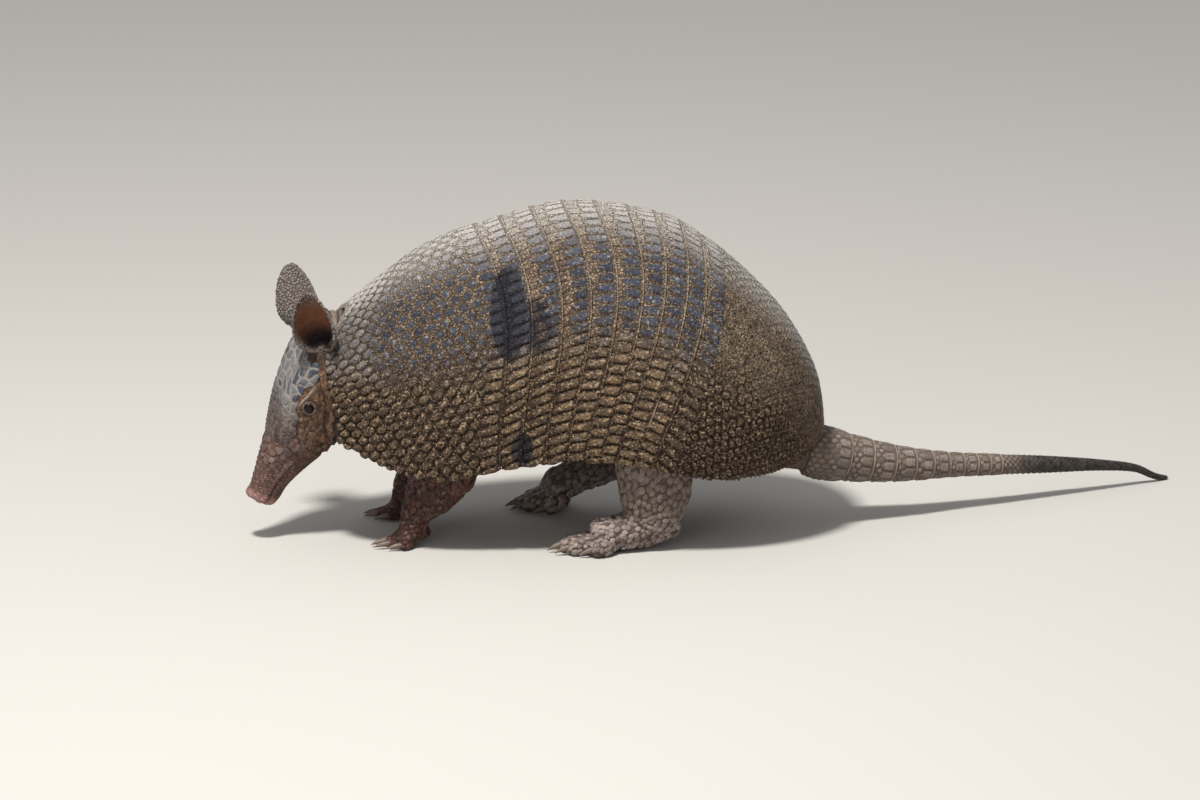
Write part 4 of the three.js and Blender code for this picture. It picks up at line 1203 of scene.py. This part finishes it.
# %% Lids
SLIT_LONG, SLIT_HIGH, LID_REACH = 2.75, 2.85, 8.2
lid_line_and_fold_shade_mask, lid_roll, brow = (np.zeros(len(points)) for k in range(3))
for side, sign in (("left", 1), ("right", -1)):
    centre = eyes[side]
    offset = points - centre
    distance = np.linalg.norm(offset, axis=1)
    local = offset @ HEAD_TURNS * [1, sign, 1]
    facing = local[:, 1] > -1.5
    slit = np.hypot((local[:, 0] + local[:, 2] * 0.15) / SLIT_LONG,
                    (local[:, 2] - local[:, 0] * 0.1) / SLIT_HIGH)
    near = (distance < LID_REACH) & facing
    gap = near & (slit < 1)
    lid = near & (slit >= 1)
    thick = 0.3 + 0.85 * np.exp(-((slit - 1.32) / 0.28) ** 2)
    target = EYE_RADIUS + thick
    close = ramp(slit, 2.6, 1.2)
    raised = np.maximum(distance, target * close + distance * (1 - close))
    raised += 0.32 * np.exp(-((slit - 1.95) / 0.2) ** 2) - 0.3 * np.exp(-((slit - 1.68) / 0.13) ** 2)
    new = np.where(gap, EYE_RADIUS * (0.72 + 0.2 * slit), np.where(lid, raised, distance))
    points = centre + offset * (new / np.maximum(distance, 1e-6))[:, None]
    crease = np.exp(-((local[:, 2] - 5.6 - local[:, 0] * 0.22) / 0.8) ** 2) * (local[:, 1] > -6)
    crease *= ramp(local[:, 0], 4, -1) * ramp(local[:, 0], -15, -10) * (distance < 18)
    points += normals * (crease * 0.55)[:, None]
    brow = np.maximum(brow, crease)
    # A dark line at the lid's edge, and painted shade in the fold round the lid.
    lid_line_and_fold_shade = np.exp(-((slit - 0.95) / 0.12) ** 2) + 0.9 * np.exp(-((slit - 1.72) / 0.14) ** 2)
    lid_line_and_fold_shade_mask = np.maximum(lid_line_and_fold_shade_mask, near * np.clip(lid_line_and_fold_shade, 0, 1))
    lid_roll = np.maximum(lid_roll, near * np.exp(-((slit - 1.32) / 0.24) ** 2))
set_points(skin_mesh, (points + SHIFT) * MM)
print("lids opened")

# %% [markdown]
# ### What kind of skin lies where
# Numbers on the skin say where the ears, lids, brow, muzzle, nose, limbs and feet are, and where the neck's
# furrows lie, which get painted shade along with the strip under the shell's front edge. The colours and the
# scales read them. A limb is where a leg's solid is nearer than the trunk's.
# The skin is also laid out flat once, so that each scale and hair has its own place in
# the map.

# %% Name the regions of the skin
def nearest_distance(names, places):
    """Millimetres from each place to the nearest of some solids."""
    tree_bm = bmesh.new()
    for name in names:
        tree_bm.from_mesh(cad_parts[name].data)
    finder = BVHTree.FromBMesh(tree_bm)
    tree_bm.free()
    return np.array([finder.find_nearest(Vector(p))[3] for p in places]) / MM


points = mesh_points(skin_mesh) / MM - SHIFT
low_part = (points[:, 0] > -150) & (points[:, 2] < 78)
limb = np.zeros(len(points))
places = (points[low_part] + SHIFT) * MM
beyond_trunk = nearest_distance(["trunk"], places) - nearest_distance(LEG_NAMES, places)
limb[low_part] = ramp(beyond_trunk, -1.5, 1.5)
foot = limb * ramp(points[:, 2], 26, 18)
hind = (points[:, 0] > -40).astype(float)
muzzle = is_head * ramp(at, 58, 92)
nose = is_head * ramp(at, 103, 108.5)
edge_x = -141 - 5.5 * np.clip((140 - points[:, 2]) / 74, 0, 1)
# Painted shade in the neck's furrows and where the neck goes under the shell's front edge.
furrow = is_neck * np.maximum(0.5 - 0.5 * neck_wave, ramp(points[:, 0], edge_x - 3.6, edge_x - 1.2))
regions = {"ear": ear_mask, "inside": ear_inside, "height": ear_height, "head": is_head,
           # behind marks the skin behind the head, which gets painted shadow.
           "muzzle": muzzle, "nose": nose, "behind": is_head * ramp(at, 20, 8), "lids": lid_line_and_fold_shade_mask,
           "lid_roll": lid_roll, "brow": brow, "mouth": mouth, "ear_rim": ear_rim, "limb": limb,
           "foot": foot, "hind": hind, "nostril": nostrils, "neck": is_neck, "furrow": furrow}
for name, numbers in regions.items():
    remember(skin, name, numbers)

lie = np.where(limb[:, None] > 0.5, np.where(foot[:, None] > 0.5, [-1.0, 0, -0.35], [-0.35, 0, -1.0]),
               HEAD_TURNS[:, 0])
remember_ways(skin_mesh, "lie", lie)

bpy.context.view_layer.objects.active = skin
skin.select_set(True)
bpy.ops.object.mode_set(mode="EDIT")
bpy.ops.mesh.select_all(action="SELECT")
bpy.ops.uv.smart_project(angle_limit=math.radians(66), island_margin=0.002)
bpy.ops.object.mode_set(mode="OBJECT")
skin.select_set(False)
skin_mesh.uv_layers.active.name = "OFBake"
print("skin triangles:", triangles(skin))

# %% [markdown]
# ## Colours of the skin
# The cheeks are dark brown, the muzzle is redder and hairless, and the nose is pink. The ears are red-brown,
# darkened by painted shade deep in their hollow, and grey and pebbled behind. The front legs are redder than
# the hind ones, and darker with painted shade. A pale ring goes round each eye, with a dark line at the
# lid's edge and painted shade in the fold beside it, under a pale brow. Painted shade also darkens the
# mouth's groove, the nostrils, the neck's furrows, the lower neck and the skin behind the head. Fine
# pebbling is bump, because it is smaller than a grain of sand.

# %% Skin material
skin_material, tree = new_material("bare_skin")
where = object_place(tree)
height = split(tree, where)[2]
part = dict(zip(regions, attributes(tree, *regions)))
broad = tree.noise(where, 45.0, 3.0)
medium = tree.noise(where, 210.0, 3.0)
fine = tree.noise(where, 1200.0, 3.0)
smear = tree.noise(where, 700.0, 3.0)
pebbled = tree.smooth(tree.voronoi(where, 640.0), 0.02, 0.22)
scaled = tree.smooth(tree.voronoi(where, 330.0), 0.02, 0.16)

trunk_tone = tree.mix(medium, (0.06, 0.04, 0.032), (0.17, 0.12, 0.098))
# Painted shade on the lower neck, under the head: almost black below 0.112 m.
neck_underside_shade = tree.smooth(height, 0.13, 0.112)
neck_tone = tree.mix(neck_underside_shade, tree.mix(medium, (0.11, 0.085, 0.07), (0.27, 0.22, 0.19)),
                     tree.mix(medium, (0.012, 0.008, 0.006), (0.055, 0.036, 0.026)))
cheek_tone = tree.mix(tree.smooth(medium, 0.38, 0.66), (0.055, 0.026, 0.012), (0.21, 0.11, 0.055))
muzzle_tone = tree.mix(medium, (0.1, 0.045, 0.036), (0.23, 0.13, 0.108))
nose_tone = tree.mix(medium, (0.24, 0.1, 0.085), (0.46, 0.26, 0.23))
rim_tone = tree.mix(pebbled, (0.035, 0.022, 0.018), (0.24, 0.19, 0.165))
hollow_tone = tree.paint(tree.mix(medium, (0.1, 0.033, 0.015), (0.27, 0.098, 0.046)),
                         # Painted shade deep in the ear's hollow.
                         (tree.smooth(part["height"], 0.5, 0.12), (0.012, 0.006, 0.005)),
                         (part["ear_rim"] * 0.85, rim_tone))
ear_back_tone = tree.mix(medium, (0.09, 0.068, 0.06), (0.15, 0.12, 0.11))
# Front legs: red-brown, partly darkened with painted shade.
front_limb_tone_and_shade = tree.mix(medium, (0.018, 0.006, 0.005), (0.085, 0.031, 0.021))
hind_limb_tone = tree.mix(medium, (0.045, 0.03, 0.024), (0.14, 0.1, 0.082))
lid_tone = tree.mix(medium, (0.15, 0.115, 0.112), (0.3, 0.24, 0.225))
skin_tone = tree.paint(
    trunk_tone,
    (part["neck"] * 0.9, neck_tone),
    # Painted shade in the neck's furrows and under the shell's edge.
    (tree.smooth(part["furrow"], 0.45, 0.9) * 0.8, (0.022, 0.015, 0.012)),
    (part["head"], cheek_tone),
    (part["muzzle"] * (0.6 + broad * 0.5), muzzle_tone),
    (part["head"] * (1 - scaled) * (1 - part["nose"]) * 0.6, (0.045, 0.025, 0.02)),
    (part["nose"], nose_tone),
    # Painted shadow on the skin behind the head, by the ears.
    (part["behind"] * 0.8, (0.035, 0.022, 0.017)),
    (part["head"] * tree.smooth(smear, 0.52, 0.66) * 0.45, (0.03, 0.018, 0.014)),
    (part["ear"], tree.mix(part["inside"], ear_back_tone, hollow_tone)),
    (part["limb"], tree.mix(part["hind"], front_limb_tone_and_shade, hind_limb_tone)),
    # Painted shade in the mouth's groove and the nostrils.
    ((part["mouth"] * 0.6).math("MAXIMUM", part["nostril"]), (0.02, 0.01, 0.009)),
    (part["lid_roll"] * (0.25 + tree.smooth(medium, 0.4, 0.62) * 0.4), lid_tone),
    # A dark line at each lid's edge and painted shade in the lid's fold.
    (part["lids"] * 0.9, (0.018, 0.012, 0.01)),
    (part["brow"] * 0.8, (0.36, 0.29, 0.235)))
skin_height = (pebbled * (0.35 + part["ear"] * 0.5) + scaled * part["head"] * 0.7
               + medium * 0.5 + fine * 0.2)
finish_material(tree, skin_tone, 0.66 - part["nose"] * 0.22 + fine * 0.15, skin_height, 0.0006)
skin_mesh.materials.append(skin_material)
print("skin material nodes:", len(skin_material.node_tree.nodes))

# %% [markdown]
# ## Scales on the skin
# The legs, feet, cheeks and muzzle carry separate horny scales, like shingles with
# rounded ends, and the backs of the ears small round ones. They are scattered so that
# none is closer than its own size to the next, turned to lie down the limb, and kept as
# a solid mesh. Each scale is a low dome of a few faces whose edge goes a little under
# the skin.

# %% One scale and the tree that lays them
def small_shape(name, rows, peak, place_in_map):
    """A closed shape of few faces from rings of points and a peak. patch holds each
    point's place in the map, measured from the root."""
    bm = bmesh.new()
    rings = [[bm.verts.new(point) for point in row] for row in rows]
    top = bm.verts.new(peak)
    sides = len(rings[0])
    for a, b in zip(rings, rings[1:]):
        for k in range(sides):
            bm.faces.new((a[k], a[(k + 1) % sides], b[(k + 1) % sides], b[k])).smooth = True
    for k in range(sides):
        bm.faces.new((rings[-1][k], rings[-1][(k + 1) % sides], top)).smooth = True
    bm.faces.new(rings[0][::-1])
    mesh = bpy.data.meshes.new(name)
    bm.to_mesh(mesh)
    bm.free()
    remember_ways(mesh, "patch", [place_in_map(vert.co) for vert in mesh.vertices])
    return bpy.data.objects.new(name, mesh)


def scale_shape(name, rings, sides):
    """A dome from rings of (radius, height, shift)."""
    turns = [2 * math.pi * k / sides for k in range(sides)]
    rows = [[(r * math.cos(a) + s, r * math.sin(a), h) for a in turns] for r, h, s in rings]
    peak = (rings[-1][2], 0, rings[-1][1] * 1.08)
    return small_shape(name, rows, peak, lambda co: (co.x * 0.42, co.y * 0.42, 0))


# The share of the skin's map over which one scale or hair spreads round its root.
PATCH = 0.003
COAT_SIZES = {"Spacing": 3.0, "Length": 1.9, "Width": 1.6, "Rise": 0.5, "Spread": 0.2, "Lean": 0.0,
              "Seed": 1.0, "Shape": "object", "Material": None}
coat, tree, size = geometry_tree("coat", COAT_SIZES)
# The roots, each with its place in the skin's map and a random number of its own.
points_node = tree.add("GeometryNodeDistributePointsOnFaces", {"distribute_method": "POISSON"}, {
    0: size["Geometry"], 1: stored(tree, "scaly") > 0.5, 2: size["Spacing"] * MM,
    3: 1.6 / (size["Spacing"] * MM) ** 2, 6: size["Seed"]})
outputs = points_node.socket.node.outputs
rooted = store(tree, points_node, "root", stored(tree, "OFBake", "FLOAT_VECTOR"), "FLOAT_VECTOR")
rooted = store(tree, rooted, "cell", tree.add("FunctionNodeRandomValue", {"data_type": "FLOAT"},
                                              {2: 0.0, 3: 1.0, 8: size["Seed"]}, out=1))
# Each one lies the way that the skin says, a little askew.
turned = tree.add("FunctionNodeAlignRotationToVector", {"axis": "X", "pivot_axis": "Z"},
                  {0: Value(tree, outputs[2]), 2: stored(tree, "lie", "FLOAT_VECTOR")})
wobble = tree.add("FunctionNodeRandomValue", {"data_type": "FLOAT_VECTOR"},
                  {0: (-0.12, -1.0, -1.0), 1: (0.12, 1.0, 1.0), 8: size["Seed"] + 5})
tilt = tree.add("ShaderNodeVectorMath", {"operation": "MULTIPLY_ADD"},
                {0: wobble, 1: tree.vector(1.0, size["Spread"] * 0.4, size["Spread"]),
                 2: tree.vector(0.0, size["Lean"], 0.0)})
turned = tree.add("FunctionNodeRotateRotation", {"rotation_space": "LOCAL"},
                  {0: turned, 1: tree.add("FunctionNodeEulerToRotation", None, {0: tilt})})
# Its size, and its own patch of the map.
chance_size = tree.add("FunctionNodeRandomValue", {"data_type": "FLOAT"},
                       {2: 0.85, 3: 1.15, 8: size["Seed"] + 9}, out=1)
grown_by = stored(tree, "grow") * chance_size * MM
shape = tree.add("GeometryNodeObjectInfo", {"transform_space": "ORIGINAL"}, {0: size["Shape"]}, out=4)
laid = tree.add("GeometryNodeInstanceOnPoints", None, {
    0: rooted, 2: shape, 5: turned,
    6: tree.vector(size["Length"] * grown_by, size["Width"] * grown_by, size["Rise"] * grown_by)})
real = tree.add("GeometryNodeRealizeInstances", None, {0: laid})
in_map = tree.add("ShaderNodeVectorMath", {"operation": "MULTIPLY_ADD"}, {
    0: stored(tree, "patch", "FLOAT_VECTOR"), 1: (PATCH, PATCH, 0), 2: stored(tree, "root", "FLOAT_VECTOR")})
mapped = store(tree, real, "OFBake", in_map, "FLOAT2", "CORNER")
end_tree(tree, mapped, size["Material"])


def coat_piece(name, mesh, mask, grow, sizes):
    """A copy of a surface turned into what grows on it where mask is over a half."""
    ground = show(name, mesh.copy())
    ground.data.materials.clear()
    remember(ground, "scaly", mask)
    remember(ground, "grow", grow)
    run_tree(ground, coat, sizes)
    print(name, "triangles:", triangles(ground), "map:", [layer.name for layer in ground.data.uv_layers])
    return ground


# %% Scale material
scale_material, tree = new_material("limb_scales")
where = object_place(tree)
read_here = ("cell", "hind", "foot", "head", "muzzle", "ear")
part = dict(zip(read_here, attributes(tree, *read_here)))
cell = part["cell"]
medium = tree.noise(where, 260.0, 3.0)
fine = tree.noise(where, 1300.0, 3.0)
smear = tree.noise(where, 640.0, 3.0)
# Front leg scales: red-brown, partly darkened with painted shade.
front_tone_and_shade = tree.mix(cell, (0.02, 0.006, 0.004), (0.09, 0.027, 0.019))
hind_tone = tree.mix(cell, (0.1, 0.073, 0.06), (0.22, 0.168, 0.142))
hind_foot_tone = tree.mix(cell, (0.19, 0.15, 0.135), (0.4, 0.33, 0.3))
face_tone = tree.mix(cell, (0.042, 0.02, 0.011), (0.17, 0.093, 0.052))
muzzle_tone = tree.mix(cell, (0.075, 0.045, 0.043), (0.17, 0.105, 0.092))
ear_tone = tree.mix(cell, (0.17, 0.145, 0.135), (0.25, 0.22, 0.205))
scale_tone = tree.paint(
    tree.mix(part["hind"], front_tone_and_shade, hind_tone),
    (part["foot"] * part["hind"] * 0.6, hind_foot_tone),
    (part["head"], tree.mix(tree.smooth(part["muzzle"], 0.02, 0.3), face_tone, muzzle_tone)),
    (part["ear"], ear_tone),
    (tree.smooth(medium, 0.5, 0.7) * 0.4, (0.22, 0.17, 0.14)),
    (tree.smooth(smear, 0.52, 0.66) * 0.45, (0.025, 0.017, 0.014)))
finish_material(tree, scale_tone, 0.5 + fine * 0.2, medium * 0.6 + fine * 0.4, 0.0009)
print("nodes in the scales' material:", len(scale_material.node_tree.nodes))

# %% Where the scales of legs, feet, face and ears go
plate_scale = scale_shape("scale_shape", [(1.0, -0.3, 0.0), (0.96, 0.45, 0.04), (0.6, 0.92, 0.1)], 9)
at, across, up = ((points - HEAD_AT) @ HEAD_TURNS).T
leg_mask = limb * (points[:, 2] > 16) * (1 - foot)
foot_mask = limb * (foot > 0.01) * (points[:, 2] > 2.2)
head_t = np.interp(at, HEAD[:, 0], np.arange(len(HEAD)))
_, crown, throat, half = through(HEAD, head_t).T
waist = crown * (1 - HEAD_WAIST) + throat * HEAD_WAIST
turn_at = np.abs(np.arctan2(across / half, (up - waist) / (crown - waist)))
span = shield_span(head_t)
beside = (turn_at > span * 1.03) | (head_t < shield_start(turn_at / span)) | (head_t > SHIELD_TO)
eye_distance = np.minimum(*[np.linalg.norm(points - centre, axis=1) for centre in eyes.values()])
cheek_mask = (is_head & beside & ((at > 50) | (up < -22)) & (at > 20) & (at < 66)
              & (lid_line_and_fold_shade_mask < 0.05) & (eye_distance > 6.2))
muzzle_mask = is_head & beside & (at > 58) & (at < 92) & (up > mouth_up + 2.5)
ear_scaly = (ear_mask > 0.4) & (ear_inside < 0.6)
even = np.ones(len(points))

# %% Lay the scales
#    piece, where, growth, then Spacing, Length, Width, Rise, Lean and Seed
SCALE_COATS = [
    ("leg_scales", leg_mask, even * (0.85 + 0.3 * ramp(points[:, 2], 20, 50)),
     3.0, 2.55, 2.0, 0.85, -0.1, 3.0),
    ("foot_scales", foot_mask, even, 2.4, 2.1, 1.65, 0.7, -0.1, 4.0),
    ("cheek_scales", cheek_mask, 0.75 + 0.35 * ramp(at, 70, 20), 2.5, 2.2, 1.75, 0.3, -0.08, 5.0),
    ("muzzle_scales", muzzle_mask, 0.55 + 0.45 * ramp(at, 96, 70), 3.4, 3.0, 2.6, 0.32, -0.08, 7.0),
    ("ear_scales", ear_scaly, even, 1.35, 0.78, 0.7, 0.4, 0.0, 8.0)]
coats = []
for name, mask, grow, spacing, length, width, rise, lean, seed in SCALE_COATS:
    coats.append(coat_piece(name, skin_mesh, mask, grow, {
        "Spacing": spacing, "Length": length, "Width": width, "Rise": rise, "Lean": lean,
        "Seed": seed, "Shape": plate_scale, "Material": scale_material}))

# %% [markdown]
# ## Eyes and claws
# The eyes are small wet black balls that sit behind the lids. The claws are horn: thick
# and ridged above, flatter below, pale toward the tip. Each claw is drawn from where its
# solid is, so it starts in its toe and ends where the solid ends.

# %% Eyes
eye_material, tree = new_material("wet_eye")
where = object_place(tree)
sheen = tree.noise(where, 500.0, 2.0)
finish_material(tree, tree.mix(sheen, (0.002, 0.0018, 0.0018), (0.006, 0.004, 0.003)),
                0.1 + sheen * 0.03, sheen, 0.00002, specular=0.25)
eye_pieces = []
for side, centre in eyes.items():
    turn, rise = np.meshgrid(np.linspace(0, 2 * np.pi, 36, endpoint=False),
                             np.linspace(0.06, np.pi - 0.06, 20))
    ball = np.stack([np.sin(rise) * np.cos(turn), np.sin(rise) * np.sin(turn), -np.cos(rise)], -1)
    eye = closed_tube(f"eye_{side}_ball", centre + ball * EYE_RADIUS, {"outer": np.ones_like(turn)})
    eye.data.materials.append(eye_material)
    eye_pieces.append((eye, [f"eye_{side}"], "eye"))
print("eyes:", [eye.name for eye, _, _ in eye_pieces])

# %% Claws
claw_material, tree = new_material("claw_horn")
where = object_place(tree)
reach, = attributes(tree, "reach")
streak = tree.noise(where, 700.0, 3.0)
fine = tree.noise(where, 1800.0, 2.0)
horn = tree.paint(tree.mix(streak, (0.085, 0.06, 0.047), (0.22, 0.17, 0.13)),
                  (tree.smooth(reach, 0.45, 0.0) * 0.8, (0.07, 0.042, 0.034)),
                  (tree.smooth(reach, 0.72, 1.0) * 0.4, (0.3, 0.25, 0.2)))
finish_material(tree, horn, 0.38 + fine * 0.2, streak * 0.6 + fine * 0.3, 0.0002)


def make_claw(node_name):
    """A curved horn from where the claw's solid starts to its tip."""
    corners = mesh_points(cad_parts[node_name].data) / MM
    tip = corners[corners[:, 0].argmin()]
    back_x = corners[:, 0].max()
    root = corners[corners[:, 0] > back_x - 0.8]
    start, radius = root.mean(0), np.ptp(root[:, 2]) / 2
    run = np.linspace(0, 1, 15)[:, None]
    inside = np.array([2.2, 0, 0.4])
    knee = (start + tip) / 2 + [0, 0, radius * 0.55]
    above_tip = np.array([0, 0, 0.15])
    middle = ((1 - run) ** 2 * (start + inside) + 2 * run * (1 - run) * knee
              + run ** 2 * (tip + above_tip))
    along = unit(np.gradient(middle, axis=0))
    across = unit(np.cross(along, [0.0, 0, 1]))
    rise = np.cross(across, along)
    turn = np.linspace(0, 2 * np.pi, 16, endpoint=False)[None, :]
    high = np.where(np.cos(turn) > 0, 1.0, 0.72) * (1 + 0.12 * np.cos(turn) ** 8)
    thick = radius * 1.02 * (1 - run ** 1.7) + 0.16
    ring = (middle[:, None] + rise[:, None] * (np.cos(turn) * high * thick)[..., None]
            + across[:, None] * (np.sin(turn) * 0.78 * thick)[..., None])
    claw = closed_tube(f"{node_name}_horn", ring - SHIFT, {"reach": run + 0 * turn})
    bm = bmesh.new()
    bm.from_mesh(claw.data)
    bmesh.ops.recalc_face_normals(bm, faces=bm.faces)
    bm.to_mesh(claw.data)
    bm.free()
    claw.data.materials.append(claw_material)
    return claw


claw_nodes = sorted(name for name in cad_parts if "_claw_" in name)
claws = [(make_claw(name), [name], "claw") for name in claw_nodes]
print("claws:", len(claws))

# %% [markdown]
# ## Hairs
# An armadillo looks bare, but pale stiff hairs stand between the scutes of the flanks
# and on the belly, cheeks and legs. Each is a thin curved spike with three sides, thin
# enough to catch the light and no more.

# %% Hairs of the flanks, belly and legs
hair_material, tree = new_material("pale_hair")
cell, = attributes(tree, "cell")
where = object_place(tree)
finish_material(tree, tree.mix(cell, (0.2, 0.15, 0.1), (0.62, 0.53, 0.4)),
                0.55 + tree.noise(where, 900.0) * 0.1, tree.noise(where, 1500.0), 0.0001)

HAIR_SIDES = 3
hair_turns = [2 * math.pi * k / HAIR_SIDES for k in range(HAIR_SIDES)]
hair_rows = []
for run in (0.0, 0.4, 0.75):
    radius = (0.5 - 0.42 * run) * 0.12
    hair_rows.append([(run ** 1.6 * 2.2 + radius * math.cos(a), radius * math.sin(a), run * 1.9 - 0.1)
                      for a in hair_turns])
hair = small_shape("hair_shape", hair_rows, (2.6, 0, 1.95), lambda co: (co.x * 0.3 - 0.4, co.y * 3, 0))


def lay_hairs(name, mesh, mask, grow, spacing, length, width, rise, seed):
    coats.append(coat_piece(name, mesh, mask, grow, {
        "Spacing": spacing, "Length": length, "Width": width, "Rise": rise, "Spread": 0.6,
        "Seed": seed, "Shape": hair, "Material": hair_material}))


belly = (points[:, 0] > -140) & (points[:, 2] < 62) & (limb < 0.4)
hairy = (belly * 0.9 + (leg_mask > 0.5) * 0.8 + cheek_mask * 0.7) > 0.5
lay_hairs("body_hairs", skin_mesh, hairy, 0.7 + 0.5 * belly, 3.2, 1.4, 1.8, 1.0, 6.0)


def recalled(mesh, name):
    """The numbers that a mesh's points remember under a name."""
    numbers = np.empty(len(mesh.vertices))
    mesh.attributes[name].data.foreach_get("value", numbers)
    return numbers


for plate, seed in ((shoulder, 11.0), (hips, 11.5)):
    mesh = plate.data.copy()
    low_pits = (recalled(mesh, "low") > 0.35) & (recalled(mesh, "pit") > 0.45)
    remember_ways(mesh, "lie", np.tile([1.0, 0.0, -0.45], (len(low_pits), 1)))
    lay_hairs(f"{plate.name}_hairs", mesh, low_pits & (recalled(mesh, "outer") > 0.5),
              np.full(len(low_pits), 0.8), 3.4, 1.7, 2.0, 0.9, seed)
print("pieces of coat:", len(coats))

# %% [markdown]
# ### Fewer triangles for the skin
# The scales and hairs took their places from the fine skin. Its own mesh can now be
# thinned: edges are collapsed where the surface is flat, and kept in lids and folds.
# Where that leaves faces crowded on one edge, they are cut out and the hole is closed,
# so that the skin is still one closed surface.

# %% Thin the skin
MOST_TRIANGLES = 190_000
SEAL_ROUNDS = 6
count = triangles(skin)
fewer = skin.modifiers.new("fewer", "DECIMATE")
fewer.ratio = MOST_TRIANGLES / count
thin_mesh = bpy.data.meshes.new_from_object(skin.evaluated_get(bpy.context.evaluated_depsgraph_get()))
skin.modifiers.remove(fewer)
skin.data = thin_mesh
sealed = bmesh.new()
sealed.from_mesh(thin_mesh)
for k in range(SEAL_ROUNDS):
    crowded_faces = {f for e in sealed.edges if len(e.link_faces) > 2 for f in e.link_faces}
    bmesh.ops.delete(sealed, geom=list(crowded_faces), context="FACES")
    rims = [e for e in sealed.edges if e.is_boundary]
    if not rims:
        break
    filled = bmesh.ops.holes_fill(sealed, edges=rims, sides=0)["faces"]
    bmesh.ops.triangulate(sealed, faces=filled)
bmesh.ops.recalc_face_normals(sealed, faces=sealed.faces)
print("open edges left in the skin:", len([e for e in sealed.edges if not e.is_manifold]))
sealed.to_mesh(thin_mesh)
sealed.free()
print("skin triangles:", count, "thinned to", triangles(skin),
      "map:", [layer.name for layer in thin_mesh.uv_layers])

# %% [markdown]
# ## The pieces ride on one body
# Every piece is fixed to the animal's one body, and the solids that it stands for are hidden.

# %% Everything rides on the one body
flesh_nodes = ["head", "neck", "trunk", "ear_left", "ear_right", *LEG_NAMES]
pieces = [(shoulder, ["shell_scapular"], "shell"), (hips, ["shell_pelvic"], "shell"),
          *[(band, [f"shell_band_{k + 1}"], "band") for k, band in enumerate(bands)],
          (head_shield, ["head_shield"], "head_plate"), *tail_pieces, *eye_pieces, *claws,
          (skin, flesh_nodes, "skin"), *[(piece, [], "skin") for piece in coats]]
for piece, nodes, slot in pieces:
    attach(piece, "root")
    if nodes:
        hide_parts(*nodes)
print("pieces:", len(pieces), "triangles:", triangles(*(piece for piece, _, _ in pieces)))
